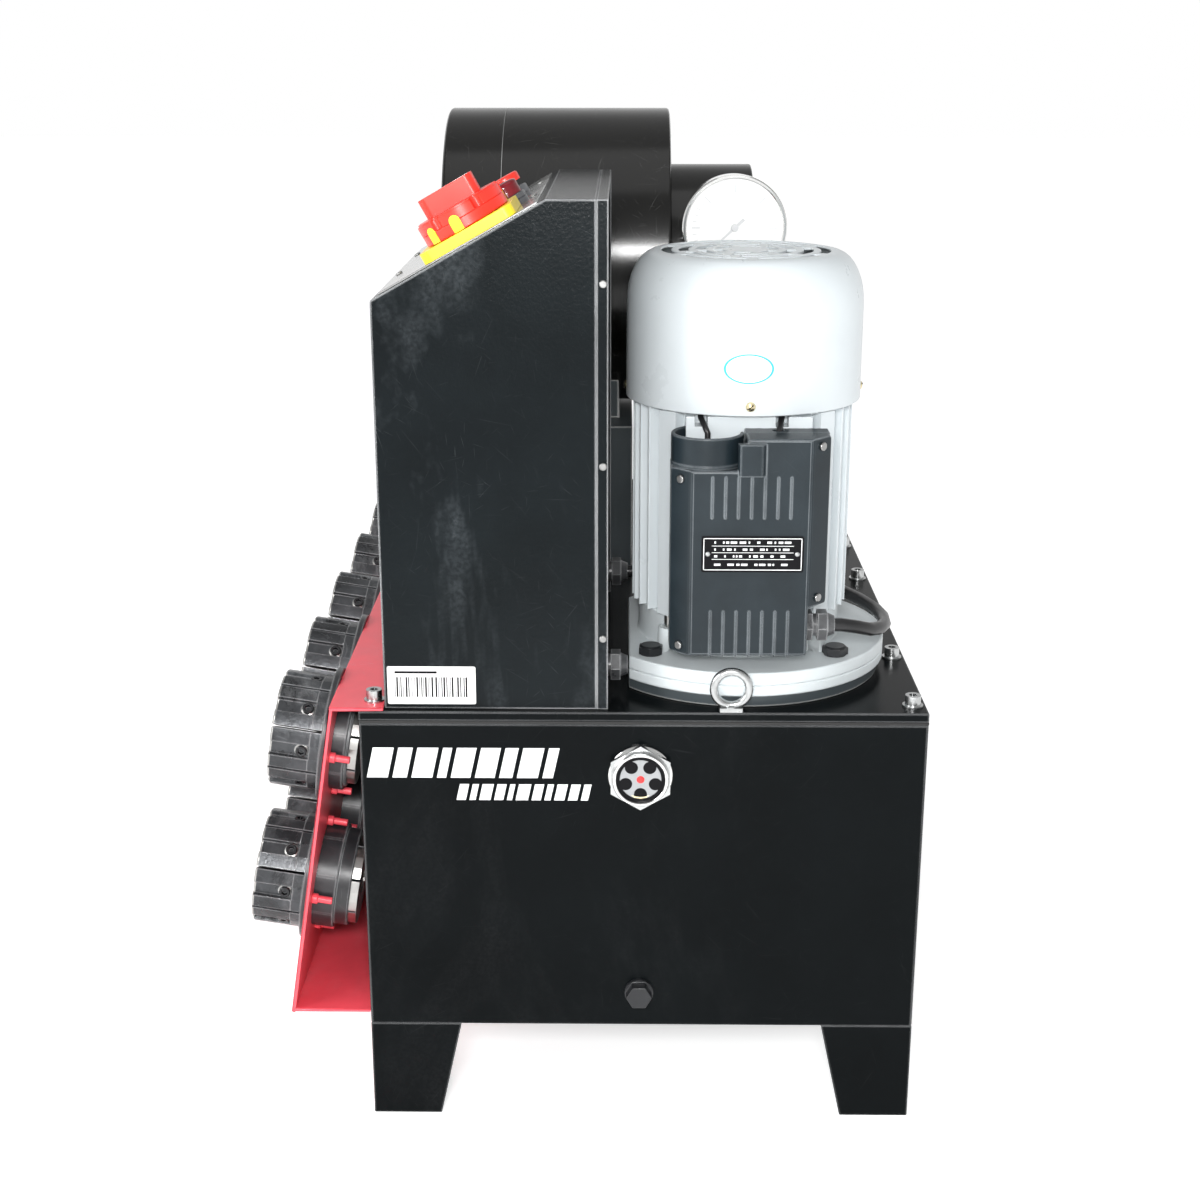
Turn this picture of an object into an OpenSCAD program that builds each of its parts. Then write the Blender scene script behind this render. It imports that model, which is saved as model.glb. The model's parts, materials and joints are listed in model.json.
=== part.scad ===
// Hydraulic hose-crimping machine: oil tank with a vertical motor-pump unit, control
// cabinet, crimping head with eight radial dies, and a rack of stored die sets.
// Frame: +X to the motor side, -Y to the operator, +Z up, origin on the floor under
// the middle of the bounding box. Millimetres.

/* [Tank] */
// Width of the oil tank, side to side
tank_w = 760; // [700:10:820]
// Depth of the tank, front to back
tank_d = 458; // [450:2:480]
// Height of the tank's floor above the ground
leg_h = 87; // [60:1:120]
// Height of the tank from its floor to the top of its lid
tank_h = 282; // [270:2:300]
// Thickness of the tank's sheet
wall = 4; // [3:0.5:5]
// Thickness of the lid
lid_t = 8; // [6:1:10]
// Number of screws along the front edge and along the rear edge of the lid
edge_bolts = 7; // [5:1:9]

/* [Legs] */
// Width of a leg where it meets the tank
leg_top = 77; // [70:1:90]
// Width of a leg at the floor
leg_foot = 58; // [50:1:68]
// Radius of the anchor hole in each foot
anchor_r = 7; // [5:0.5:8]

/* [Motor] */
// Diameter of the motor's mounting flange
flange_d = 250; // [250:1:252]
// Pitch circle of the flange bolts
flange_pcd = 215; // [213:1:217]
// Radius over the cooling fins
fin_r = 91; // [90:1:93]
// Number of cooling fins
fins = 36; // [24:4:44]
// Outer radius of the fan cowl
cowl_r = 97; // [96:1:99]
// Height of the fan cowl
cowl_h = 119; // [110:1:124]

/* [Cabinet] */
// Width of the control cabinet, side to side
cab_w = 327; // [300:1:340]
// Depth of the control cabinet
cab_d = 171; // [165:1:171]
// Height of the cabinet's front wall above the lid
cab_front_h = 327; // [300:1:340]
// Height of the cabinet's flat top above the lid
cab_h = 402; // [390:1:410]
// Depth of the cabinet's flat top
cab_top_d = 38; // [28:1:40]

/* [Crimping head] */
// Outer radius of the head
head_r = 147; // [144:1:150]
// Length of the head
head_l = 220; // [218:1:222]
// Radius of the rear cylinder
tail_r = 92; // [88:1:96]
// Length of the rear cylinder
tail_l = 83; // [83:1:90]
// Stroke of the piston
stroke = 42; // [30:1:42]
// Angle of the piston's wedge faces
wedge = 20; // [18:0.5:20]
// Radius of the open die circle
open_r = 66; // [62:1:68]

/* [Die rack] */
// Lean of the rack's panel from the vertical
lean = 9; // [7:0.5:10]
// Die sets in each row
rack_cols = 5; // [3:1:5]
// Distance between neighbouring die sets
rack_pitch = 148; // [140:1:150]
// Outer radius of a stored die set
set_r = 49; // [46:1:50]

/* [Hidden] */
$fn = 64;
eps = 0.01;
sheet = 2;
fit = 0.05;
dies = 8;

// Tank
side_proud = 12;
top_z = leg_h + tank_h;
flange_t = 8;
gasket_t = 2;
shell_top = top_z - lid_t - gasket_t;
flange_w = 28;
edge_in = 11;
end_in = 18;
near_x = (tank_w - side_proud) / 2;
far_x = near_x - tank_w;
bolt_pitch = (tank_w - 2 * end_in) / (edge_bolts - 1);
foot_in = leg_foot / 2 + 4;

// Die rack: its panel leans out from an overhanging top flange
rack_t = 3;
rack_out = 24;
rack_grip = 20;
rack_l = (tank_h - 10) / cos(lean);
row_z = [top_z - 49, top_z - 177];
set_front = 48;
set_neck = [14, 21];
set_back = [24, 40];
set_neck_r = set_r - 4;
set_end_r = set_r - 10;
collar_ring_r = set_r + 8;
collar_ring_t = 6;
pin_at = set_r + 1;
pin_r = 3;
pin_back = 20;
bores = [10, 14, 19, 24, 29];
function rack_y(z) = rack_out + (top_z - z) * tan(lean);
rack_reach = rack_y(row_z[1]) + set_front * cos(lean) + set_r * sin(lean);
rear_y = (tank_d + rack_reach) / 2;
front_y = rear_y - tank_d;
mid_y = rear_y - tank_d / 2;
rack_x0 = near_x - 74;

// Sight glass and drain plug on the near face
sight_y = mid_y - 2;
sight_z = leg_h + 228;
drain_z = leg_h + 31.5;

// Breather and lifting eye on the lid
breather_at = [near_x - 640, mid_y + 150];
eye_x = near_x - 6;
eye_y = mid_y + 70.5;
eye_r = 14.2;
eye_wire = 3.5;

// Motor: a stack on one vertical axis
motor_x = near_x - 135;
motor_y = mid_y + 82.5;
ring_z = top_z;
plate_z = ring_z + 10;
mount_z = plate_z + 9;
ring_r = flange_d / 2 - 4;
flange_flat = 94;
bell_z = mount_z + 11;
fin_z = bell_z + 29;
cowl_z = top_z + 233;
spigot_r = 90;
lid_hole_r = 95;
shaft_r = 15;
bearing_r = 31;
bearing_w = 16;
stud_at = 86;
rotor_r = 45;
core_z = fin_z + 27;
core_h = 105;
bell_drop = 164;
bell_or = 75;

// Gear pump under the motor
gear_z = 150;
gear_h = 30;
teeth = 12;
gear_m = 3.5;
gear_cd = teeth * gear_m;
gear_or = gear_cd / 2 + 0.8 * gear_m;
pump_shaft_r = 9;
pump_top = plate_z - bell_drop;

// Capacitor box on the motor's near side
box_w = 124;
box_h = 176;
box_z = top_z + 46;
box_back = near_x - 48;
box_split = near_x - 32;
box_front = near_x - 6;
box_chamfer = 16;
collar_r = 28.5;
collar_h = 25;
box_gland_z = 436;
gland_face = box_w / 2 - 15;
gland_room_h = 40;
notch_x = 71;
lead_y = [-38, 26];
lead_r = 2.4;
lead_top = cowl_z + 8;

// Motor cable: from the box, round behind the motor, to the cabinet
cable_r = 5.5;
cable_route = [
    [-24, 142, 436], [-24, 158, 436], [-28, 171, 433], [-40, 184, 427], [-56, 194, 423],
    [-77, 201, 420], [-102, 203, 418], [-128, 200, 417], [-154, 191, 417], [-178, 179, 417],
    [-200, 164, 417], [-218, 145, 417], [-230, 122, 417], [-237, 98, 417], [-240, 72, 417],
    [-240, 46, 417], [-240, 18, 417], [-240, -4, 417], [-240, -24, 417]
];

// Cabinet
cab_x1 = near_x - 7;
cab_x0 = cab_x1 - cab_w;
cab_y0 = mid_y - 208.5;
cab_y1 = cab_y0 + cab_d;
slope_z = top_z + cab_front_h;
slope_run = cab_d - cab_top_d;
slope_rise = cab_h - cab_front_h;
slope_a = atan(slope_rise / slope_run);
slope_l = sqrt(slope_run * slope_run + slope_rise * slope_rise);
plate_t = 1.5;
gland_low = [near_x - 54, 391];
gland_high = [near_x - 240, 417];
gland_w = 22.5;
gland_stub_r = 7.5;

// Controls: x from the cabinet's near side, y up the sloping panel
iso_at = [50, 88];
lamp_at = [122, 118];
stop_at = [170, 118];
close_at = [226, 60];
open_at = [276, 60];
button_r = 11;
plate_screws = [98, 232];

// Crimping head: its own frame has z towards the operator, 0 at the head's rear face
head_x = near_x - 530;
head_z = top_z + 302.5;
head_y = mid_y + 28.5;
bore_r = 128;
back_t = 30.5;
seam_at = head_l - 57;
mouth_r = 70;
mouth_t = 21.2;
die_z0 = head_l - 77.5;
die_l = 56;
die_r = 100;
die_gap = 6.2;
die_half = 30;
die_travel = stroke * tan(wedge);
cone_end = die_z0 + 12;
cone_l = 60;
ring_l = 116;
rod_r = 40;
piston_r = 75;
piston_t = 22;
port_z = -60;

// Stand under the head
stand_w = 280;
stand_y0 = mid_y - 191.5;
stand_d = 184;
stand_top = top_z + 152;
stand_leg = 40;

// Hose from the lid to the head's rear cylinder
hose_x = near_x - 488;
hose_y0 = mid_y - 33;
hose_y1 = mid_y + 70;
hose_r = 7;
hose_bend = 45;
hose_z0 = top_z + 27;

// Gauge on the rear cylinder
gauge_x = near_x - 388;
gauge_y = mid_y + 88.5;
gauge_z = top_z + 344;
gauge_r = 50;
gauge_t = 38;
gauge_port = 6.5;

black = [0.05, 0.05, 0.055];
motor_grey = [0.78, 0.82, 0.85];
steel = [0.72, 0.73, 0.74];
chrome = [0.85, 0.86, 0.87];
red = [0.72, 0.06, 0.12];
plastic = [0.13, 0.14, 0.15];

// ---- Placing helpers ----

// Stands children on the motor's axis, at height z
module on_motor(z = 0) translate([motor_x, motor_y, z]) children();

// Repeats children at the four flange-bolt angles, at radius r
module four_at(r) for (a = [45:90:315]) rotate(a) translate([r, 0, 0]) children();

// Puts children on the sloping panel's outer surface: x inwards from the near side
module on_slope(at = [0, 0])
    translate([cab_x1 - at[0], cab_y0, slope_z])
    rotate([slope_a, 0, 0]) translate([0, at[1], 0]) children();

// Puts children in the head's own frame
module in_head() translate([head_x, head_y, head_z]) rotate([90, 0, 0]) children();

// Puts children on the rack panel's outer surface, z along its normal
module on_rack(x, z) translate([x, front_y - rack_y(z), z]) rotate([90 - lean, 0, 0]) children();

// Points children's z axis away from the tank's near face
module on_near(y, z) translate([near_x, y, z]) rotate([0, 90, 0]) children();

// Puts children at every screw of the lid's rear edge, then of its front edge
module at_rear_screws(z)
    for (i = [0:edge_bolts - 1])
        translate([near_x - end_in - i * bolt_pitch, rear_y - edge_in, z]) children();
module at_front_screws(z)
    for (i = [0:edge_bolts - 1])
        translate([near_x - end_in - i * bolt_pitch, front_y + edge_in, z]) children();

// ---- General shapes ----

module tube(ro, ri, h) difference() {
    cylinder(r = ro, h = h);
    translate([0, 0, -1]) cylinder(r = ri, h = h + 2);
}

module hexagon(across, h) cylinder(d = across / cos(30), h = h, $fn = 6);

// Socket cap screw with its washer under the head; z 0 is the washer's seat
module cap_screw(r, below) {
    difference() {
        union() {
            translate([0, 0, 1.6]) cylinder(r = 1.6 * r, h = 2 * r);
            translate([0, 0, -below]) cylinder(r = r, h = below + 2);
        }
        translate([0, 0, r + 1.6]) hexagon(1.5 * r, 2 * r);
    }
    tube(2.1 * r, r + 0.3, 1.6);
}

// Cable gland: threaded stub into the wall, hex body and a domed nut
module gland() {
    difference() {
        union() {
            translate([0, 0, -6]) cylinder(r = gland_stub_r, h = 7);
            hexagon(gland_w, 5);
            translate([0, 0, 5]) cylinder(r = 9, h = 5);
            translate([0, 0, 9]) hexagon(gland_w, 8);
            translate([0, 0, 17]) cylinder(r1 = 10, r2 = 7.5, h = 6);
        }
        translate([0, 0, -7]) cylinder(r = cable_r + 3 * fit, h = 42);
    }
}

// Clears the flat on the side of the motor's flange that faces the cabinet
module flange_cut() translate([-flange_d, -flange_flat - flange_d, -20])
    cube([2 * flange_d, flange_d, 60]);

// ---- Tank ----

module tank_shell() color(black) difference() {
    translate([far_x, front_y, leg_h]) cube([tank_w, tank_d, shell_top - leg_h]);
    translate([far_x + wall, front_y + wall, leg_h + wall])
        cube([tank_w - 2 * wall, tank_d - 2 * wall, shell_top - flange_t - leg_h - wall]);
    translate([far_x + flange_w, front_y + flange_w, leg_h + wall + 1])
        cube([tank_w - 2 * flange_w, tank_d - 2 * flange_w, tank_h]);
    at_rear_screws(shell_top - 20) cylinder(r = 4 + fit, h = 30);
    at_front_screws(shell_top - 20) cylinder(r = 4 + fit, h = 30);
    on_near(sight_y, sight_z) translate([0, 0, -20]) cylinder(r = 21 + fit, h = 30);
    on_near(sight_y, drain_z) translate([0, 0, -20]) cylinder(r = 10 + fit, h = 30);
}

module lid_gasket() color([0.2, 0.2, 0.2]) difference() {
    translate([far_x, front_y, shell_top]) cube([tank_w, tank_d, gasket_t]);
    translate([far_x + flange_w - 4, front_y + flange_w - 4, shell_top - 1])
        cube([tank_w - 2 * flange_w + 8, tank_d - 2 * flange_w + 8, gasket_t + 2]);
    at_rear_screws(shell_top - 1) cylinder(r = 4.5, h = 4);
    at_front_screws(shell_top - 1) cylinder(r = 4.5, h = 4);
}

module tank_lid() color(black) difference() {
    translate([far_x, front_y, top_z - lid_t]) cube([tank_w, tank_d, lid_t]);
    at_rear_screws(top_z - 20) cylinder(r = 4.5, h = 30);
    at_front_screws(top_z - 20) cylinder(r = 4.5, h = 30);
    on_motor(top_z - 20) cylinder(r = lid_hole_r, h = 30, $fn = 96);
    translate([eye_x, eye_y, top_z - 20]) cylinder(r = 3.5 + fit, h = 30);
    translate([breather_at[0], breather_at[1], top_z - 20]) cylinder(r = 16 + fit, h = 30);
    translate([hose_x, hose_y0, top_z - 20]) cylinder(r = 8 + fit, h = 30);
}

// One leg: two tapered plates meeting at the tank's corner, on a foot plate
module leg() difference() {
    union() {
        rotate([90, 0, 90]) linear_extrude(wall) leg_plate();
        translate([0, wall, 0]) rotate([90, 0, 0]) linear_extrude(wall) leg_plate();
        cube([leg_foot, leg_foot, 5]);
    }
    translate([foot_in, foot_in, -1]) cylinder(r = anchor_r, h = 8);
}

module leg_plate() polygon([[0, 0], [leg_foot, 0], [leg_top, leg_h], [0, leg_h]]);

module tank_legs() color(black) {
    translate([far_x, front_y, 0]) leg();
    translate([near_x, front_y, 0]) mirror([1, 0, 0]) leg();
    translate([far_x, rear_y, 0]) mirror([0, 1, 0]) leg();
    translate([near_x, rear_y, 0]) mirror([1, 0, 0]) mirror([0, 1, 0]) leg();
}

module m8_screws() color(chrome) {
    at_rear_screws(top_z) cap_screw(4, 17);
    at_front_screws(top_z + rack_t) cap_screw(4, 20);
}

module lifting_eye() color(chrome) translate([eye_x, eye_y, top_z]) {
    intersection() {
        cylinder(r = 10, h = 4);
        translate([-5.5, -10, 0]) cube([11, 20, 4]);
    }
    translate([0, 0, -lid_t + 0.5]) cylinder(r = 3.5, h = lid_t);
    translate([0, 0, eye_r + eye_wire + 1]) rotate([0, 90, 0])
        rotate_extrude() translate([eye_r, 0]) circle(r = eye_wire, $fn = 32);
}

module sight_glass() {
    color(chrome) on_near(sight_y, sight_z) difference() {
        union() {
            cylinder(r = 26, h = 3);
            hexagon(48, 9);
            cylinder(r = 22.5, h = side_proud);
            translate([0, 0, -16]) cylinder(r = 21, h = 17);
        }
        translate([0, 0, -17]) cylinder(r = 17, h = 40);
        translate([0, 0, side_proud - 4]) cylinder(r = 20 + fit, h = 5);
    }
    color([0.9, 0.95, 1, 0.4]) on_near(sight_y, sight_z)
        translate([0, 0, side_proud - 3.9]) cylinder(r = 20, h = 3);
}

module drain_plug() color(black) on_near(sight_y, drain_z) {
    cylinder(r = 12, h = 3);
    rotate(30) hexagon(19, side_proud);
    translate([0, 0, -14]) cylinder(r = 10, h = 15);
}

module breather_cap() color(black) translate([breather_at[0], breather_at[1], top_z]) {
    cylinder(r = 30, h = 5);
    translate([0, 0, 4]) cylinder(r = 22, h = 12);
    translate([0, 0, 14]) cylinder(r = 33, h = 24);
    translate([0, 0, 37]) cylinder(r1 = 33, r2 = 27, h = 6);
    translate([0, 0, -60]) tube(16, 13, 62);
}

// ---- Pump, hung inside the tank below the motor ----

// Spur gear: one involute tooth, mirrored and repeated, with backlash
function involute(rb, t) = [rb * (cos(t) + t * PI / 180 * sin(t)),
    rb * (sin(t) - t * PI / 180 * cos(t))];
function turned(p, a) = [p[0] * cos(a) - p[1] * sin(a), p[0] * sin(a) + p[1] * cos(a)];

module gear_outline() {
    rp = gear_cd / 2;
    rb = rp * cos(20);
    root = rp - 1.25 * gear_m;
    tip_t = sqrt(pow(gear_or / rb, 2) - 1) * 180 / PI;
    at_pitch = tan(20) * 180 / PI - 20;
    half = 90 / teeth - 1.2 + at_pitch;
    flank = [for (i = [0:4]) turned(involute(rb, tip_t * i / 4), -half)];
    circle(r = root);
    for (k = [0:teeth - 1]) rotate(360 * k / teeth) polygon(concat(
        [turned([root - 1, 0], -half)], flank,
        [for (i = [4:-1:0]) [flank[i][0], -flank[i][1]]],
        [turned([root - 1, 0], half)]));
}

module drive_gear() color(steel) on_motor(0) {
    translate([0, 0, gear_z]) linear_extrude(gear_h) gear_outline();
    translate([0, 0, gear_z - 12]) cylinder(r = pump_shaft_r, h = 100 + gear_h);
}

module driven_gear() color(steel) on_motor(0) translate([-gear_cd, 0, 0]) {
    translate([0, 0, gear_z]) rotate(180 + 180 / teeth) linear_extrude(gear_h) gear_outline();
    translate([0, 0, gear_z - 12]) cylinder(r = pump_shaft_r, h = 24 + gear_h);
}

module pump_body() color([0.55, 0.56, 0.58]) on_motor(0) {
    difference() {
        union() {
            translate([-gear_cd / 2 - 55, -42, gear_z]) cube([110, 84, pump_top - gear_z]);
            translate([0, 0, pump_top - 1]) cylinder(r = 30, h = 11);
        }
        for (x = [0, -gear_cd]) translate([x, 0, gear_z - 1])
            cylinder(r = gear_or + 0.15, h = gear_h + 1.15);
        translate([0, 0, gear_z]) cylinder(r = pump_shaft_r + fit, h = 100);
        translate([-gear_cd, 0, gear_z]) cylinder(r = pump_shaft_r + fit, h = gear_h + 16);
        translate([-gear_cd / 2, -43, gear_z + 15]) rotate([-90, 0, 0]) cylinder(r = 8, h = 30);
        translate([-gear_cd / 2, 13, gear_z + 15]) rotate([-90, 0, 0]) cylinder(r = 7, h = 30);
    }
    difference() {
        translate([-gear_cd / 2 - 55, -42, gear_z - 20]) cube([110, 84, 19.9]);
        for (x = [0, -gear_cd]) translate([x, 0, gear_z - 16])
            cylinder(r = pump_shaft_r + fit, h = 30);
    }
}

module suction_strainer() color(steel) on_motor(gear_z + 15)
    translate([-gear_cd / 2, 0, 0]) rotate([90, 0, 0]) {
        translate([0, 0, 30]) cylinder(r = 7.9, h = 40);
        translate([0, 0, 69]) cylinder(r = 30, h = 8);
        translate([0, 0, 76]) cylinder(r = 27, h = 80);
        translate([0, 0, 155]) cylinder(r = 30, h = 6);
    }

// ---- Motor ----

module mounting_ring() color(black) on_motor(ring_z) difference() {
    cylinder(r = ring_r, h = 10, $fn = 96);
    flange_cut();
    translate([0, 0, -1]) cylinder(r = lid_hole_r, h = 12, $fn = 96);
    four_at(flange_pcd / 2) translate([0, 0, -1]) cylinder(r = 6 + fit, h = 12);
}

// Adaptor plate with the bell that carries the pump
module bellhousing() color(motor_grey) on_motor(plate_z) difference() {
    union() {
        cylinder(r = flange_d / 2, h = 9, $fn = 96);
        translate([0, 0, -bell_drop]) cylinder(r = bell_or, h = bell_drop + 1);
    }
    flange_cut();
    translate([0, 0, 5]) cylinder(r = spigot_r + fit, h = 5, $fn = 96);
    translate([0, 0, 10 - bell_drop]) cylinder(r = bell_or - 8, h = bell_drop);
    translate([0, 0, -bell_drop - 1]) cylinder(r = 30 + fit, h = 20);
    four_at(flange_pcd / 2) translate([0, 0, -1]) cylinder(r = 6.75, h = 12);
}

module motor_flange() color(motor_grey) on_motor(0) difference() {
    union() {
        translate([0, 0, mount_z]) cylinder(r = flange_d / 2, h = 11, $fn = 96);
        translate([0, 0, mount_z - 4]) cylinder(r = spigot_r, h = 5, $fn = 96);
        translate([0, 0, bell_z - 1]) cylinder(r = 85.5, h = 30);
        translate([0, 0, bell_z - 1]) four_at(stud_at) cylinder(r = 9, h = 20);
    }
    translate([0, 0, mount_z]) flange_cut();
    translate([0, 0, bell_z + 10]) cylinder(r = 72, h = 30);
    translate([0, 0, bell_z - 9]) cylinder(r = bearing_r + 0.02, h = 40);
    translate([0, 0, mount_z - 5]) cylinder(r = 22, h = 30);
    four_at(flange_pcd / 2) translate([0, 0, mount_z - 1]) cylinder(r = 6.75, h = 13);
    four_at(stud_at) translate([0, 0, bell_z + 4]) cylinder(r = 4 + fit, h = 30);
    translate([87, -70, box_z - 3]) cube([20, 140, 40]);
}

module stator_housing() color(motor_grey) on_motor(fin_z) difference() {
    union() {
        linear_extrude(cowl_z - fin_z - 2) union() {
            circle(r = 82);
            for (i = [0:fins - 1]) rotate(360 * i / fins)
                translate([76, -1.5]) square([fin_r - 76, 3]);
            translate([40, -50]) square([47, 100]);
            for (a = [45:90:315]) rotate(a) translate([74, -9]) square([fin_r - 74, 18]);
        }
        translate([0, 0, cowl_z - fin_z - 3]) cylinder(r = fin_r - 2, h = 4);
        translate([0, 0, cowl_z - fin_z]) cylinder(r = cowl_r - 2.1, h = 10);
    }
    translate([0, 0, -1]) cylinder(r = 75, h = cowl_z - fin_z - 14);
    translate([0, 0, cowl_z - fin_z + 1]) cylinder(r = 84, h = 20);
    translate([0, 0, cowl_z - fin_z - 15]) cylinder(r = bearing_r + 0.02, h = 30);
    four_at(stud_at) translate([0, 0, -1]) cylinder(r = 4.5, h = cowl_z - fin_z + 30);
    four_at(stud_at) translate([0, 0, cowl_z - fin_z + 0.8]) cylinder(r = 8.5, h = 30);
    for (y = lead_y) translate([notch_x, y - 5, cowl_z - fin_z - 10]) cube([40, 10, 60]);
    translate([87, -70, -1]) cube([30, 140, cowl_z - fin_z + 30]);
}

module stator_core() color([0.6, 0.35, 0.2]) on_motor(core_z) difference() {
    union() {
        cylinder(r = 74.95, h = core_h);
        translate([0, 0, -14]) cylinder(r = 70, h = core_h + 28);
    }
    translate([0, 0, -20]) cylinder(r = rotor_r + 1, h = core_h + 40);
}

module motor_bearings() color(steel) {
    on_motor(bell_z - 9) tube(bearing_r, shaft_r + 0.04, bearing_w);
    on_motor(cowl_z - 14.9) tube(bearing_r, shaft_r + 0.04, bearing_w);
}

module motor_rotor() color(steel) on_motor(0) {
    translate([0, 0, mount_z - 20]) cylinder(r = shaft_r, h = cowl_z - mount_z + 40);
    translate([0, 0, mount_z - 78]) cylinder(r = 14, h = 60);
    translate([0, 0, cowl_z + 19]) cylinder(r = 12, h = 70);
    translate([0, 0, core_z]) cylinder(r = rotor_r, h = core_h);
}

module cooling_fan() color(plastic) on_motor(cowl_z + 26) difference() {
    union() {
        cylinder(r = 22, h = 40);
        cylinder(r = 76, h = 3);
        for (a = [0:45:315]) rotate(a) translate([20, -1.5, 2]) cube([55, 3, 34]);
    }
    translate([0, 0, -1]) cylinder(r = 12.02, h = 50);
}

module shaft_coupling() color([0.6, 0.6, 0.62]) on_motor(pump_top + 30) difference() {
    cylinder(r = 30, h = 90);
    translate([0, 0, -1]) cylinder(r = pump_shaft_r + 0.02, h = 45);
    translate([0, 0, 43]) cylinder(r = 14.02, h = 60);
}

// Cowl outline: straight skirt, elliptical shoulder and flat top, by its outer radius
function cowl_side(r, drop) = concat([[r, 0]],
    [for (a = [0:10:90]) [r - 24 + 24 * cos(a), cowl_h - drop - 42 + 42 * sin(a)]]);

module fan_cowl() color(motor_grey) on_motor(cowl_z) difference() {
    rotate_extrude($fn = 96) polygon(concat(cowl_side(cowl_r, 0), [[0, cowl_h], [0, 0]]));
    translate([0, 0, -eps]) rotate_extrude($fn = 96)
        polygon(concat(cowl_side(cowl_r - 2, 2), [[0, cowl_h - 2], [0, 0]]));
    for (r = [19, 33, 47, 61]) translate([0, 0, cowl_h - 6]) difference() {
        tube(r + 8, r, 10);
        for (a = [0:60:120]) rotate(a + r) translate([-80, -4, -1]) cube([160, 8, 20]);
    }
}

module motor_bolts() {
    color([0.2, 0.2, 0.22]) on_motor(bell_z) four_at(flange_pcd / 2) {
        hexagon(19, 8);
        translate([0, 0, -28]) cylinder(r = 6, h = 29);
    }
    color(steel) on_motor(bell_z + 5) four_at(stud_at) {
        cylinder(r = 4, h = cowl_z - bell_z + 2);
        translate([0, 0, cowl_z - bell_z - 4]) hexagon(13, 6);
    }
}

// ---- Capacitor box ----

module box_block(x0, x1, inset) translate([x0, motor_y - box_w / 2 + inset, box_z + inset])
    cube([x1 - x0, box_w - 2 * inset, box_h - 2 * inset]);

// The corner that the round capacitor collar takes
module box_corner() translate([box_back - 1, motor_y - box_w / 2 - 1, box_z + box_h - collar_h])
    cube([60, 2 * collar_r + 2, collar_h + 1]);

module box_corner_wall() translate([box_back, motor_y - box_w / 2, box_z + box_h - collar_h - 3])
    cube([box_split - box_back, 2 * collar_r + 4, 3]);

// The lower corner that is set back to make room for the cable gland
module gland_corner(grow = 0)
    translate([box_back - 1, motor_y + gland_face - grow, box_z - 1])
    cube([60, box_w, gland_room_h + 1 + grow]);

// Walls, 3 mm thick, that close that corner
module gland_corner_walls() difference() {
    gland_corner(3);
    gland_corner();
}

module capacitor_box() color(plastic) difference() {
    union() {
        difference() {
            box_block(box_back, box_split, 0);
            box_block(box_back + 3, box_split + 1, 3);
            box_corner();
            gland_corner();
        }
        intersection() {
            box_block(box_back, box_split, 0);
            gland_corner_walls();
        }
        box_corner_wall();
        translate([box_back, motor_y - box_w / 2 + 2 * collar_r + 1, box_z + box_h - collar_h])
            cube([box_split - box_back, 3, collar_h]);
    }
    translate([near_x - 40, motor_y + 22, box_z + box_h - 8]) cylinder(r = 4.6, h = 10);
}

module cover_profile(inset) polygon([
    [box_split - eps * inset, -box_w / 2 + inset],
    [box_front - box_chamfer, -box_w / 2 + inset],
    [box_front - inset, -box_w / 2 + box_chamfer + inset * 0.4],
    [box_front - inset, box_w / 2 - box_chamfer - inset * 0.4],
    [box_front - box_chamfer, box_w / 2 - inset],
    [box_split - eps * inset, box_w / 2 - inset]]);

module capacitor_cover() color(plastic) translate([0, motor_y, box_z]) difference() {
    union() {
        difference() {
            linear_extrude(box_h) cover_profile(0);
            translate([0, 0, 3]) linear_extrude(box_h - 6) cover_profile(3);
            translate([0, -motor_y, -box_z]) box_corner();
            translate([0, -motor_y, -box_z]) gland_corner();
        }
        intersection() {
            linear_extrude(box_h) cover_profile(0);
            translate([0, -motor_y, -box_z]) gland_corner_walls();
        }
        intersection() {
            translate([box_front - collar_r, collar_r - box_w / 2, box_h - collar_h])
                tube(collar_r, collar_r - 3, collar_h);
            translate([box_split, -box_w, 0]) cube([60, 2 * box_w, 2 * box_h]);
        }
        intersection() {
            linear_extrude(box_h) cover_profile(0);
            translate([box_split, -box_w / 2, box_h - collar_h - 3])
                cube([60, 2 * collar_r + 4, 3]);
        }
        translate([box_split, 2 * collar_r - box_w / 2, box_h - collar_h])
            cube([box_front - box_split - 1, 4, collar_h]);
    }
    for (i = [-3:3]) {
        translate([box_front - 0.8, 10.2 * i - 0.2, 113]) cube([3, 1.2, 34]);
        translate([box_front - 0.8, 10.2 * i - 0.2, -1]) cube([3, 1.2, 39]);
    }
    translate([near_x - 24, gland_face - 10, box_gland_z - box_z]) rotate([-90, 0, 0])
        cylinder(r = gland_stub_r + fit, h = 20);
}

module capacitors() color([0.3, 0.3, 0.35])
    for (y = [-24, 12]) translate([near_x - 26, motor_y + y, box_z + 45]) cylinder(r = 15, h = 85);

// ---- Wiring ----

function unit(v) = v / norm(v);
function heading(p, i) = unit(p[min(i + 1, len(p) - 1)] - p[max(i - 1, 0)]);
function ring_points(c, dir, r, sides, ref) = let(
    u = unit(cross(dir, ref)),
    v = cross(u, dir))
    [for (k = [0:sides - 1]) c + r * (cos(360 * k / sides) * u + sin(360 * k / sides) * v)];

// A closed tube of radius r along the points p, which never run along ref
module sweep(p, r, sides, ref) {
    n = len(p);
    points = [for (i = [0:n - 1]) each ring_points(p[i], heading(p, i), r, sides, ref)];
    skin = [for (i = [0:n - 2]) for (k = [0:sides - 1]) let(
        a = i * sides + k,
        b = i * sides + (k + 1) % sides)
        [a, b, b + sides, a + sides]];
    start = [for (k = [sides - 1:-1:0]) k];
    end = [for (k = [0:sides - 1]) (n - 1) * sides + k];
    polyhedron(points, concat(skin, [start, end]));
}

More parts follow.
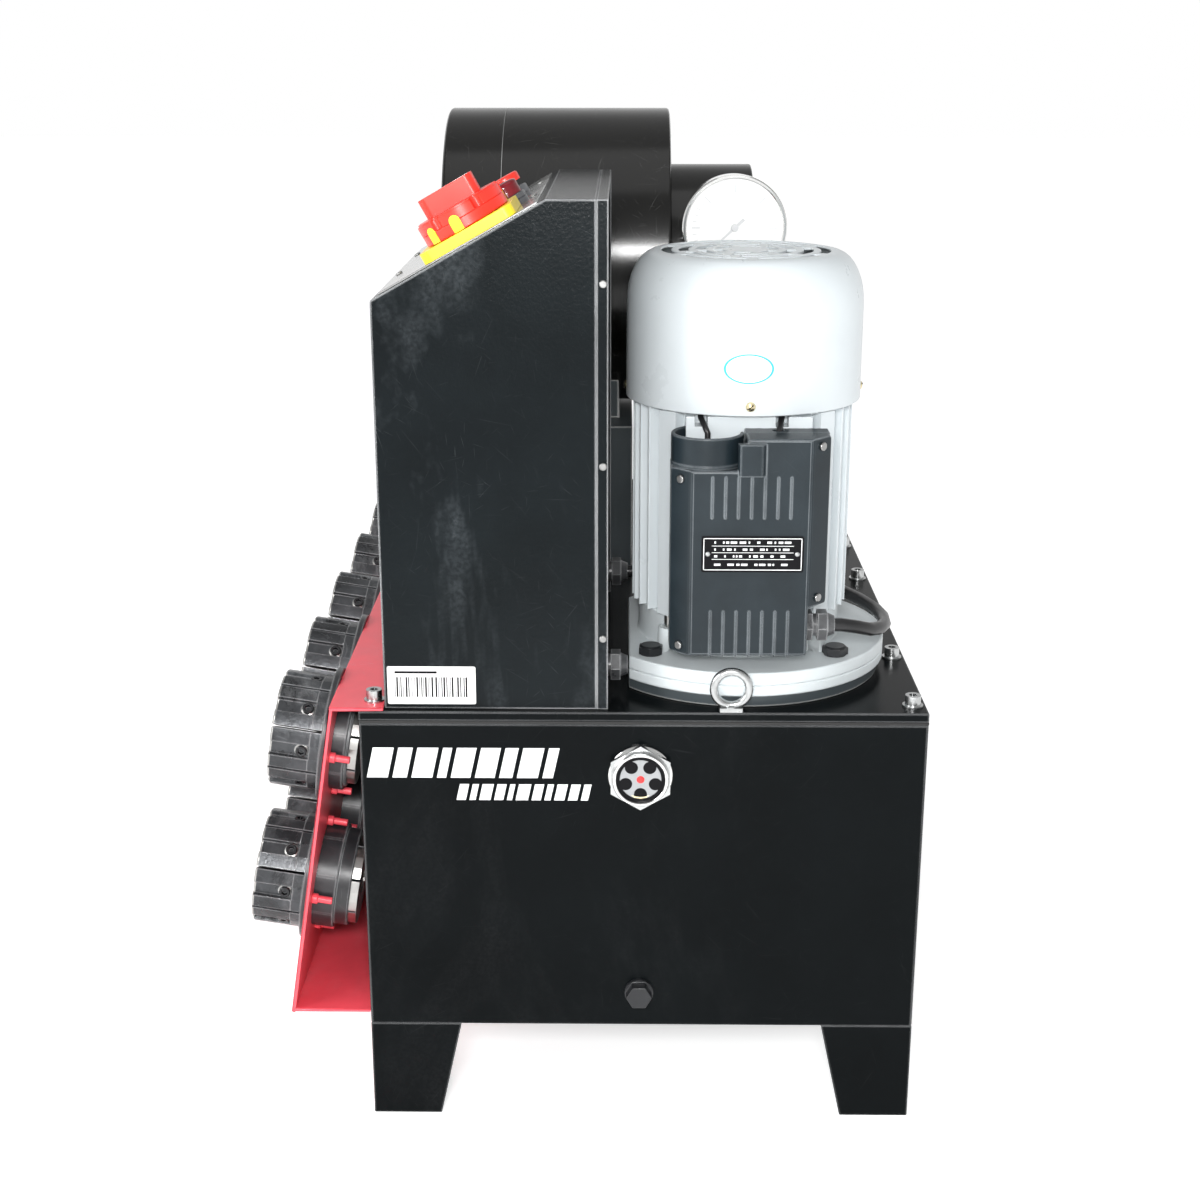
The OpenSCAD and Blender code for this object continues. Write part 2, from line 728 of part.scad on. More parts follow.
// Lead from a notch under the cowl, outwards and down into the capacitor box at x, y, z
module lead(y0, x, y, z) sweep([
    [motor_x + notch_x + 5, motor_y + y0, lead_top],
    [motor_x + notch_x + 5, motor_y + y0, cowl_z - 1],
    [motor_x + notch_x + 8, motor_y + y0 * 0.98 + y * 0.02, cowl_z - 4.5],
    [x - 2, motor_y + y0 * 0.4 + y * 0.6, box_z + box_h + 1.5],
    [x, motor_y + y, box_z + box_h - 3],
    [x, motor_y + y, z]], lead_r, 8, [0, 1, 0]);

module motor_wiring() color(black) {
    sweep([for (p = cable_route) [near_x + p[0], mid_y + p[1], p[2]]], cable_r, 10, [0, 0, 1]);
    lead(lead_y[0], near_x - 42, -33, box_z + box_h - collar_h + 3);
    lead(lead_y[1], near_x - 40, 22, box_z + box_h - 7);
}

// ---- Cabinet ----

module cabinet_profile(t) polygon([
    [cab_y0 + t, top_z - (t > 0 ? 5 : 0)], [cab_y0 + t, slope_z - 0.55 * t],
    [cab_y1 - cab_top_d + 0.25 * t, top_z + cab_h - t],
    [cab_y1 + (t > 0 ? 5 : 0), top_z + cab_h - t],
    [cab_y1 + (t > 0 ? 5 : 0), top_z - (t > 0 ? 5 : 0)]]);

module panel_holes(depth) {
    on_slope(iso_at) translate([0, 0, -depth]) cylinder(r = 12, h = 2 * depth);
    for (at = [lamp_at, stop_at, close_at, open_at])
        on_slope(at) translate([0, 0, -depth]) cylinder(r = button_r + fit, h = 2 * depth);
}

module cabinet_shell() color(black) difference() {
    translate([cab_x0, 0, 0]) rotate([90, 0, 90]) linear_extrude(cab_w) cabinet_profile(0);
    translate([cab_x0 + sheet, 0, 0]) rotate([90, 0, 90])
        linear_extrude(cab_w - 2 * sheet) cabinet_profile(sheet);
    panel_holes(10);
}

module control_panel() color(steel) difference() {
    on_slope([cab_w - 8, 7]) cube([cab_w - 16, slope_l - 14, plate_t]);
    panel_holes(10);
}

module rear_cover() color(black) difference() {
    union() {
        translate([cab_x0, cab_y1, top_z]) cube([cab_w, sheet, cab_h]);
        for (x = [cab_x0, cab_x1 - sheet]) translate([x, cab_y1, top_z]) cube([sheet, 9, cab_h]);
        translate([cab_x0, cab_y1, top_z + cab_h - sheet]) cube([cab_w, 9, sheet]);
    }
    for (g = [gland_low, gland_high])
        translate([g[0], cab_y1 - 5, g[1]]) rotate([-90, 0, 0])
            cylinder(r = gland_stub_r + fit, h = 20);
}

// Screw on the cover's bevelled corner: side is -1 or 1 across the box, z from its bottom
module corner_screw(side, z)
    translate([box_front - box_chamfer / 2, motor_y + side * (box_w / 2 - box_chamfer / 2), box_z + z])
    rotate([0, 90, 0]) rotate([side * -45, 0, 0]) translate([0, 0, 0.05]) cylinder(r = 3.4, h = 2.5);

module cover_screws() color(chrome) {
    for (z = [7, box_h - collar_h - 8]) corner_screw(-1, z);
    for (z = [gland_room_h + 7, box_h - 7]) corner_screw(1, z);
    for (x = plate_screws, y = [14, slope_l - 14])
        on_slope([x, y]) translate([0, 0, plate_t]) cylinder(r = 3, h = 1.6);
    for (x = [cab_x0 - 2, cab_x1 + 0.2], z = [60, 200, 340])
        translate([x, cab_y1 + 5, top_z + z]) rotate([0, 90, 0]) cylinder(r = 3, h = 1.8);
}

module cable_glands() color(plastic) {
    for (g = [gland_low, gland_high])
        translate([g[0], cab_y1 + sheet, g[1]]) rotate([-90, 0, 0]) gland();
    translate([near_x - 24, motor_y + gland_face, box_gland_z]) rotate([-90, 0, 0]) gland();
}

module contactor() color(plastic) translate([cab_x0 + 120, cab_y0 + sheet + 0.2, top_z + 150]) {
    cube([90, 6, 120]);
    translate([18, 5, 20]) cube([54, 60, 80]);
    translate([24, 64, 35]) cube([42, 14, 50]);
}

// ---- Controls ----

module isolator_base() color([0.95, 0.8, 0.1]) on_slope(iso_at) difference() {
    union() {
        translate([-40, -40, plate_t]) cube([80, 80, 10 - plate_t]);
        translate([-30, -30, -52]) cube([60, 60, 52 - sheet - 0.3]);
        translate([0, 0, -10]) cylinder(r = 11.5, h = 16);
    }
    translate([0, 0, -60]) cylinder(r = 5 + fit, h = 80);
}

module isolator_handle() color([0.9, 0.12, 0.1]) on_slope(iso_at) {
    difference() {
        translate([0, 0, 10.3]) cylinder(r = 35.5, h = 18);
        for (a = [0:60:300]) rotate(a + 30) translate([35.5, 0, 9]) cylinder(r = 4, h = 14);
    }
    translate([-10, -25, 28]) cube([20, 47, 16]);
    translate([0, 0, -45]) cylinder(r = 5, h = 60);
}

// Fixed bezel of a 22 mm panel device, with its body behind the panel
module bezel(r, h) difference() {
    union() {
        translate([0, 0, plate_t]) cylinder(r = r, h = h);
        translate([0, 0, -34]) cylinder(r = button_r, h = 38);
        translate([-14, -18, -60]) cube([28, 36, 30]);
    }
    translate([0, 0, -20]) cylinder(r = 8 + fit, h = 60);
}

module button_bezels() color([0.25, 0.26, 0.28]) {
    on_slope(lamp_at) bezel(14.5, 8);
    on_slope(stop_at) bezel(14.5, 10);
    on_slope(close_at) bezel(15, 8);
    on_slope(open_at) bezel(15, 8);
}

module pilot_lamp() color([0.6, 0.02, 0.05]) on_slope(lamp_at) {
    translate([0, 0, plate_t + 8.3]) cylinder(r = 12.5, h = 10);
    translate([0, 0, plate_t + 18.3]) cylinder(r1 = 12.5, r2 = 9, h = 2.5);
    translate([0, 0, -15]) cylinder(r = 7.9, h = 25);
}

module stop_button() color([0.85, 0.08, 0.08]) on_slope(stop_at) {
    translate([0, 0, plate_t + 15.5]) cylinder(r = 12.5, h = 5);
    translate([0, 0, plate_t + 20.5]) cylinder(r1 = 12.5, r2 = 10.5, h = 2);
    translate([0, 0, -12]) cylinder(r = 8, h = 30);
}

module push_button() {
    translate([0, 0, plate_t + 13.5]) cylinder(r = 11, h = 5.5);
    translate([0, 0, -12]) cylinder(r = 8, h = 28);
}

module close_button() color([0.1, 0.5, 0.2]) on_slope(close_at) push_button();
module open_button() color([0.75, 0.1, 0.1]) on_slope(open_at) push_button();

// ---- Crimping head ----

module head_shell() color(black) in_head() difference() {
    cylinder(r = head_r, h = seam_at, $fn = 128);
    translate([0, 0, back_t]) cylinder(r = bore_r, h = seam_at, $fn = 128);
    translate([0, 0, -1]) cylinder(r = rod_r + fit, h = 60);
}

module head_front_ring() color(black) in_head() translate([0, 0, seam_at]) difference() {
    cylinder(r = head_r, h = head_l - seam_at, $fn = 128);
    translate([0, 0, -1]) cylinder(r = bore_r, h = head_l - seam_at - mouth_t + 1, $fn = 128);
    translate([0, 0, -1]) cylinder(r = mouth_r, h = 100);
}

// Wedge piston: eight inclined faces in front, rod and hydraulic piston behind
module head_piston() color(steel) in_head() difference() {
    union() {
        translate([0, 0, cone_end - ring_l]) cylinder(r = bore_r - fit, h = ring_l, $fn = 128);
        translate([0, 0, -60]) cylinder(r = rod_r, h = cone_end - ring_l + 61);
        translate([0, 0, -tail_l + 11.5]) cylinder(r = piston_r - fit, h = piston_t);
    }
    translate([0, 0, cone_end - cone_l]) rotate(22.5) cylinder(h = cone_l + eps,
        r1 = (die_r + fit + (cone_end - cone_l - die_z0) * tan(wedge)) / cos(22.5),
        r2 = (die_r + fit + (cone_end - die_z0) * tan(wedge)) / cos(22.5), $fn = 8);
    translate([0, 0, cone_end - 96]) cylinder(r = 74, h = 60);
}

// One die: a radial wedge, pushed inwards as the piston's inclined faces advance
module crimp_die(k) color(steel) in_head() rotate(45 * (k - 1)) difference() {
    intersection() {
        translate([0, 0, die_z0]) linear_extrude(die_l) polygon([
            [60, die_side(60)], [die_wide, die_half], [140, die_half],
            [140, -die_half], [die_wide, -die_half], [60, -die_side(60)]]);
        translate([0, 50, 0]) rotate([90, 0, 0]) linear_extrude(100) polygon([
            [55, die_z0], [die_r, die_z0],
            [die_r + die_l * tan(wedge), die_z0 + die_l], [55, die_z0 + die_l]]);
    }
    translate([0, 0, die_z0 - 1]) cylinder(r = open_r, h = die_l + 2, $fn = 96);
}
function die_side(r) = r * tan(22.5) - die_gap / cos(22.5);
die_wide = (die_half + die_gap / cos(22.5)) / tan(22.5);

module head_tail() color(black) in_head() difference() {
    union() {
        translate([0, 0, -tail_l]) cylinder(r = tail_r, h = tail_l, $fn = 96);
        translate([0, gauge_z - head_z, port_z]) rotate([0, 90, 0])
            cylinder(r = 16, h = gauge_x - gauge_t - 8 - head_x);
        translate([hose_x - head_x, 0, head_y - hose_y1]) rotate([90, 0, 0]) cylinder(r = 13, h = 98);
    }
    translate([0, 0, 8 - tail_l]) cylinder(r = piston_r, h = tail_l, $fn = 96);
    translate([60, gauge_z - head_z, port_z]) rotate([0, 90, 0])
        cylinder(r = gauge_port + fit, h = 80);
    translate([hose_x - head_x, -50, head_y - hose_y1]) rotate([90, 0, 0]) cylinder(r = 6, h = 60);
}

module head_support() color([0.1, 0.1, 0.11]) difference() {
    union() {
        translate([head_x - stand_w / 2, stand_y0, stand_top - 10]) cube([stand_w, stand_d, 10]);
        for (x = [head_x - stand_w / 2, head_x + stand_w / 2 - 4])
            translate([x, stand_y0, stand_top - 80]) cube([4, stand_d, 71]);
        for (x = [head_x - stand_w / 2, head_x + stand_w / 2 - stand_leg],
             y = [stand_y0, stand_y0 + stand_d - 8])
            translate([x, y, top_z]) cube([stand_leg, 8, stand_top - top_z - 9]);
        for (x = [head_x - stand_w / 2, head_x + stand_w / 2 - 8],
             y = [stand_y0, stand_y0 + stand_d - stand_leg])
            translate([x, y, top_z]) cube([8, stand_leg, stand_top - top_z - 9]);
        for (y = [stand_y0 + 14, stand_y0 + stand_d - 34])
            translate([head_x - 95, y, stand_top - 1]) cube([190, 20, 46]);
    }
    in_head() translate([0, 0, -100]) cylinder(r = head_r, h = 500, $fn = 128);
}

// ---- Gauge and hose ----

module pressure_gauge() color(chrome) translate([gauge_x, gauge_y, gauge_z]) rotate([0, -90, 0]) {
    difference() {
        cylinder(r = gauge_r, h = gauge_t, $fn = 96);
        translate([0, 0, -1]) cylinder(r = gauge_r - 4, h = 5, $fn = 96);
    }
    translate([0, 0, gauge_t - 1]) cylinder(r = 10, h = 9);
    translate([0, 0, gauge_t + 7]) cylinder(r = gauge_port, h = 22);
}

// Quarter of a hose bend, from +z towards +y
module hose_quarter() rotate([0, -90, 0]) rotate_extrude(angle = 90)
    translate([hose_bend, 0]) circle(r = hose_r, $fn = 32);

module pressure_hose() {
    color(chrome) translate([hose_x, hose_y0, top_z]) {
        rotate(15) hexagon(27, 12);
        translate([0, 0, -lid_t - 4]) cylinder(r = 8, h = 18);
        translate([0, 0, 11]) cylinder(r = 9, h = 16);
    }
    color(black) translate([hose_x, hose_y0 + hose_bend, hose_z0]) mirror([0, 1, 0]) hose_quarter();
    color(black) translate([hose_x, hose_y0 + hose_bend, hose_z0 + hose_bend])
        rotate([-90, 0, 0]) cylinder(r = hose_r, h = hose_y1 - hose_y0 - 2 * hose_bend);
    color(black) translate([hose_x, hose_y1 - hose_bend, hose_z0 + 2 * hose_bend])
        mirror([0, 0, 1]) hose_quarter();
    color(black) translate([hose_x, hose_y1, hose_z0 + 2 * hose_bend])
        cylinder(r = hose_r, h = 70);
    color(chrome) translate([hose_x, hose_y1, hose_z0 + 2 * hose_bend + 70])
        cylinder(r = 9, h = head_z - 98 - hose_z0 - 2 * hose_bend - 70);
}

// ---- Die rack ----

module at_sets(row) for (i = [0:rack_cols - 1])
    on_rack(rack_x0 - i * rack_pitch, row_z[row]) children();

module four_pins() for (a = [0:90:270]) rotate(a) translate([pin_at, 0, 0]) children();
module at_pins(row) at_sets(row) four_pins() children();

module die_rack() color(red) difference() {
    union() {
        translate([far_x, front_y - rack_out + 0.6, top_z])
            cube([tank_w, rack_out - 0.6 + rack_grip, rack_t]);
        on_rack(far_x, top_z) translate([0, -rack_l, -rack_t]) cube([tank_w, rack_l + 2.5, rack_t]);
        translate([far_x, front_y - rack_y(leg_h + 10) + 1, leg_h + 10])
            cube([tank_w, rack_y(leg_h + 10) - 1.05, rack_t]);
    }
    at_front_screws(top_z - 1) cylinder(r = 4.5, h = 8);
    for (row = [0, 1]) {
        at_sets(row) translate([0, 0, -10]) cylinder(r = set_neck_r + 0.3, h = 20);
        at_pins(row) translate([0, 0, -rack_t - 0.5]) cylinder(r = pin_r + fit, h = 20);
    }
}

// The topmost pin of an upper set stops at the panel's back, under the top flange
module rack_pins() color(red) for (row = [0, 1]) at_sets(row) for (a = [0:90:270])
    rotate(a) translate([pin_at, 0, 0]) {
        long = row == 1 || a != 90;
        back = long ? pin_back : rack_t;
        translate([0, 0, -back]) cylinder(r = pin_r, h = back + collar_ring_t);
        if (long) translate([0, 0, -rack_t - 5]) cylinder(r = pin_r + 1.4, h = 5);
    }

// Stored die set: eight segments round a bore, kept apart by radial slots, and a collar
// ring that rests on the panel
module die_set(bore, neck, back) {
    body_z = collar_ring_t + 0.2;
    difference() {
        union() {
            translate([0, 0, body_z]) cylinder(r = set_r, h = set_front - body_z);
            translate([0, 0, -neck]) cylinder(r = set_neck_r, h = neck + body_z + 1);
            translate([0, 0, -back]) cylinder(r = set_end_r, h = back);
        }
        translate([0, 0, -back - 1]) cylinder(r = bore, h = set_front + back + 2);
        for (a = [22.5:45:157.5]) rotate(a) translate([-60, -0.8, -back - 1])
            cube([120, 1.6, set_front + back + 2]);
    }
    difference() {
        tube(collar_ring_r, set_neck_r + 0.1, collar_ring_t);
        four_pins() translate([0, 0, -1]) cylinder(r = pin_r + fit, h = collar_ring_t + 2);
    }
}

module set_row(row) color([0.16, 0.16, 0.17]) for (i = [0:rack_cols - 1])
    on_rack(rack_x0 - i * rack_pitch, row_z[row])
    die_set(bores[i] + 3 * row, set_neck[row], set_back[row]);

module die_sets_upper() set_row(0);
module die_sets_lower() set_row(1);

tank_shell();
tank_lid();
lid_gasket();
tank_legs();
m8_screws();
lifting_eye();
sight_glass();
drain_plug();
breather_cap();
suction_strainer();
pump_body();
drive_gear();
driven_gear();
mounting_ring();
bellhousing();
motor_flange();
stator_housing();
stator_core();
motor_bearings();
motor_rotor();
cooling_fan();
shaft_coupling();
fan_cowl();
motor_bolts();
capacitor_box();
capacitor_cover();
capacitors();
motor_wiring();
cabinet_shell();
control_panel();
rear_cover();
cover_screws();
cable_glands();
contactor();
isolator_base();
isolator_handle();
button_bezels();
pilot_lamp();
stop_button();
close_button();
open_button();
head_shell();
head_front_ring();
head_piston();
head_tail();
head_support();
crimp_die(1);  // die_1
crimp_die(2);  // die_2
crimp_die(3);  // die_3
crimp_die(4);  // die_4
crimp_die(5);  // die_5
crimp_die(6);  // die_6
crimp_die(7);  // die_7
crimp_die(8);  // die_8
pressure_gauge();
pressure_hose();
die_rack();
rack_pins();
die_sets_upper();
die_sets_lower();
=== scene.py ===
import json
import math
import random

import bmesh
import bpy
from mathutils import Matrix, Vector


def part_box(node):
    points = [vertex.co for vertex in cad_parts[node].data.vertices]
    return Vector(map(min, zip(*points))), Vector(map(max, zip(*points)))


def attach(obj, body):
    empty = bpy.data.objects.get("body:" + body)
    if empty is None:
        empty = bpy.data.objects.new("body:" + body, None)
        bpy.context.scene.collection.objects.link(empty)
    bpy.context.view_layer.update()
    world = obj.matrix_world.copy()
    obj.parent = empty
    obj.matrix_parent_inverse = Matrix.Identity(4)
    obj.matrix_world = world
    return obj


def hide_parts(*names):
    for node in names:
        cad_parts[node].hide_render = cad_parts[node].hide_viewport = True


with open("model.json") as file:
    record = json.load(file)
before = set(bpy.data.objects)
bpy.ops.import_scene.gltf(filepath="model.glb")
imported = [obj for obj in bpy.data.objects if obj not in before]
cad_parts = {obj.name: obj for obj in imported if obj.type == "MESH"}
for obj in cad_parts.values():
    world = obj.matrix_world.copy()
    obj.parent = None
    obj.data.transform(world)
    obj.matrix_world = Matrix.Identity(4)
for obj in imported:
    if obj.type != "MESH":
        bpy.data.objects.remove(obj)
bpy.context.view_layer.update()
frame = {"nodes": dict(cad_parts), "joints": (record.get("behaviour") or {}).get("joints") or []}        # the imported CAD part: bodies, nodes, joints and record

# Shapes are built in millimetres in the CAD frame and scaled to metres when a piece is made.
MM = 0.001
random.seed(11)          # label bars and rating-plate dashes


# ---- Camera, lights and stage ----

def aim(obj, at, target):
    obj.location = at
    obj.rotation_mode = "QUATERNION"
    obj.rotation_quaternion = (Vector(target) - Vector(at)).to_track_quat("-Z", "Y")


def add_camera():
    """The camera that took the photo, solved from the machine's edges."""
    data = bpy.data.cameras.new("camera")
    data.lens = 54.08
    data.sensor_width = 36
    camera = bpy.data.objects.new("camera", data)
    bpy.context.scene.collection.objects.link(camera)
    at = Vector((1.72675, 0.03562, 0.88278))
    pitch = math.radians(17.225)
    yaw = math.radians(0.712)
    look = Vector((-math.cos(pitch) * math.cos(yaw), -math.cos(pitch) * math.sin(yaw), -math.sin(pitch)))
    aim(camera, at, at + look)
    bpy.context.scene.camera = camera


def add_light(name, at, target, size, watts):
    data = bpy.data.lights.new(name, "AREA")
    data.shape = "RECTANGLE"
    data.size, data.size_y = size
    data.energy = watts
    light = bpy.data.objects.new(name, data)
    bpy.context.scene.collection.objects.link(light)
    aim(light, at, target)


def add_world():
    """White near the horizon and dimmer overhead, as in a white studio with a dark ceiling."""
    world = bpy.data.worlds.new("studio")
    world.use_nodes = True
    tree = world.node_tree
    back = tree.nodes["Background"]
    way = add(tree, "ShaderNodeTexCoord").outputs["Generated"]
    height = add(tree, "ShaderNodeSeparateXYZ", {0: way}).outputs["Z"]
    horizon, ceiling = 0.08, 0.65
    white, dim = 1.0, 0.45
    tree.links.new(mapped(tree, height, horizon, ceiling, white, dim), back.inputs["Strength"])
    back.inputs["Color"].default_value = (1, 1, 1, 1)
    bpy.context.scene.world = world


def add_stage():
    add_world()
    add_light("flash", (1.80, -0.03, 1.02), (0, 0.05, 0.48), (0.36, 0.22), 22)
    add_light("overhead", (0.5, 0.2, 2.9), (0, 0.05, 0.4), (1.6, 1.6), 5)
    add_light("front_fill", (1.3, -2.0, 1.3), (0, -0.1, 0.4), (1.2, 1.2), 27)
    # The floor glows a little, so that it is as white as the photo's cut-out background
    paper = finish("stage_paper", (0.86, 0.86, 0.86), 0.9, vary=0.01, patch=2, spec=0.1)
    shader = paper.node_tree.nodes["Principled BSDF"]
    shader.inputs["Emission Color"].default_value = (1, 1, 1, 1)
    shader.inputs["Emission Strength"].default_value = 0.6
    half = 16
    corners = [(-half, -half, 0), (half, -half, 0), (half, half, 0), (-half, half, 0)]
    mesh = bpy.data.meshes.new("stage")
    mesh.from_pydata(corners, [], [(0, 1, 2, 3)])
    floor = bpy.data.objects.new("stage", mesh)
    bpy.context.scene.collection.objects.link(floor)
    floor.data.materials.append(paper)
    bpy.context.scene.view_settings.view_transform = "Standard"


# ---- Materials ----

def add(tree, kind, inputs=None, **settings):
    """A shader node with its settings, and its inputs linked or set."""
    node = tree.nodes.new(kind)
    for key, value in settings.items():
        setattr(node, key, value)
    for key, value in (inputs or {}).items():
        socket = node.inputs[key]
        if isinstance(value, bpy.types.NodeSocket):
            tree.links.new(value, socket)
        else:
            socket.default_value = value
    return node


def mapped(tree, value, a, b, to_a=0.0, to_b=1.0):
    """The value with a to b stretched to to_a to to_b, and held beyond them."""
    ends = {"Value": value, "From Min": a, "From Max": b, "To Min": to_a, "To Max": to_b}
    return add(tree, "ShaderNodeMapRange", ends).outputs["Result"]


def mixed(tree, factor, a, b):
    node = add(tree, "ShaderNodeMix", {0: factor}, data_type="RGBA")
    for index, value in ((6, a), (7, b)):
        if isinstance(value, bpy.types.NodeSocket):
            tree.links.new(value, node.inputs[index])
        else:
            node.inputs[index].default_value = (*value, 1)
    return node.outputs[2]


def total(tree, *values):
    result = values[0]
    for value in values[1:]:
        result = add(tree, "ShaderNodeMath", {0: result, 1: value}, operation="ADD").outputs[0]
    return result


def times(tree, a, b):
    return add(tree, "ShaderNodeMath", {0: a, 1: b}, operation="MULTIPLY").outputs[0]


def noise(tree, place, scale, detail=4.0, rough=0.55, warp=0.0):
    inputs = {"Vector": place, "Scale": scale, "Detail": detail, "Roughness": rough, "Distortion": warp}
    return add(tree, "ShaderNodeTexNoise", inputs).outputs["Fac"]


def stretched(tree, place, scale):
    return add(tree, "ShaderNodeMapping", {"Vector": place, "Scale": scale}).outputs["Vector"]


def scratch_lines(tree, place, scale):
    """Fine straight scratches: in each random cell, the plane through its centre with a random tilt."""
    marks = []
    for density, width in ((scale, 0.00028), (scale * 2.7, 0.0002)):
        cell = add(tree, "ShaderNodeTexVoronoi", {"Vector": place, "Scale": density})
        off = add(tree, "ShaderNodeVectorMath", {0: place, 1: cell.outputs["Position"]}, operation="SUBTRACT")
        tilt = add(tree, "ShaderNodeVectorMath", {0: cell.outputs["Color"], 1: (0.5, 0.5, 0.5)},
                   operation="SUBTRACT").outputs[0]
        tilt = add(tree, "ShaderNodeVectorMath", {0: tilt}, operation="NORMALIZE").outputs[0]
        away = add(tree, "ShaderNodeVectorMath", {0: off.outputs[0], 1: tilt}, operation="DOT_PRODUCT")
        near = add(tree, "ShaderNodeMath", {0: away.outputs["Value"]}, operation="ABSOLUTE").outputs[0]
        line = mapped(tree, near, 0, width, 1, 0)
        short = mapped(tree, cell.outputs["Distance"], 0.2, 0.6, 1, 0)
        marks.append(times(tree, line, short))
    worn = mapped(tree, noise(tree, place, scale * 0.5, 3.0), 0.42, 0.66)
    return times(tree, total(tree, *marks), worn)


def painted_edge_highlights(tree, blotch, strength):
    """Painted highlight along sharp edges: high where the rounded normal leaves the true one, so along sharp
    edges, and patchy.
    """
    radius = 0.0018
    flat, turned = 0.998, 0.955
    rounder = add(tree, "ShaderNodeBevel", {"Radius": radius}, samples=4).outputs["Normal"]
    true = add(tree, "ShaderNodeNewGeometry").outputs["True Normal"]
    match = add(tree, "ShaderNodeVectorMath", {0: rounder, 1: true}, operation="DOT_PRODUCT")
    line = mapped(tree, match.outputs["Value"], flat, turned, 0, strength)
    return times(tree, line, mapped(tree, blotch, 0.35, 0.6, 0.55, 1))


def dust_film(tree, place, patch, strength):
    """Drawn-out clouds of fine specks."""
    cloud = noise(tree, stretched(tree, place, (1, 1, 0.4)), patch * 0.8, 5.0, 0.7, 0.6)
    speck = noise(tree, place, patch * 40, 2.0)
    return times(tree, mapped(tree, cloud, 0.50, 0.74, 0, strength), mapped(tree, speck, 0.35, 0.65, 0.3, 1))


def finish(name, colour, rough, metal=0.0, spec=0.5, vary=0.12, patch=14.0, grain=700.0, bump=0.15,
           depth=0.0002, scratch=0.0, scratch_scale=16.0, scratch_colour=None, dust=0.0,
           dust_colour=(0.35, 0.36, 0.37), stretch=None, coat=0.0, aniso=0.0, edge=0.0,
           edge_highlight_colour=(0.45, 0.46, 0.47)):
    """A surface finish: blotched colour, uneven gloss, fine grain, dust, scratches and painted highlights
    along the edges.
    """
    material = bpy.data.materials.new(name)
    material.use_nodes = True
    tree = material.node_tree
    shader = tree.nodes["Principled BSDF"]
    place = add(tree, "ShaderNodeTexCoord").outputs["Object"]
    blotch = noise(tree, place, patch, 6.0, 0.62)
    low, high = 0.3, 0.7        # the noise's usual range
    spread = 0.12               # of the gloss, each way
    dark = tuple(c * (1 - vary) for c in colour)
    light = tuple(min(1, c * (1 + vary)) for c in colour)
    base = mixed(tree, mapped(tree, blotch, low, high), dark, light)
    gloss = mapped(tree, blotch, low, high, rough * (1 - spread), min(1, rough * (1 + spread)))
    if dust:
        film = dust_film(tree, place, patch, dust)
        base = mixed(tree, film, base, dust_colour)
        gloss = total(tree, gloss, times(tree, film, 0.5))
    if scratch:
        lines = times(tree, scratch_lines(tree, place, scratch_scale), scratch)
        base = mixed(tree, lines, base, scratch_colour or tuple(min(1, c * 3 + 0.06) for c in colour))
        gloss = total(tree, gloss, times(tree, lines, 0.3))
    # Painted highlight: edge lightens the colour along sharp edges
    if edge:
        base = mixed(tree, painted_edge_highlights(tree, blotch, edge), base, edge_highlight_colour)
    fine = stretched(tree, place, stretch) if stretch else place
    grain_field = noise(tree, fine, grain, 3.0, 0.6)
    height = add(tree, "ShaderNodeBump", {"Height": grain_field, "Strength": bump, "Distance": depth})
    tree.links.new(base, shader.inputs["Base Color"])
    tree.links.new(gloss, shader.inputs["Roughness"])
    tree.links.new(height.outputs["Normal"], shader.inputs["Normal"])
    shader.inputs["Metallic"].default_value = metal
    shader.inputs["Specular IOR Level"].default_value = spec
    shader.inputs["Coat Weight"].default_value = coat
    shader.inputs["Anisotropic"].default_value = aniso
    return material
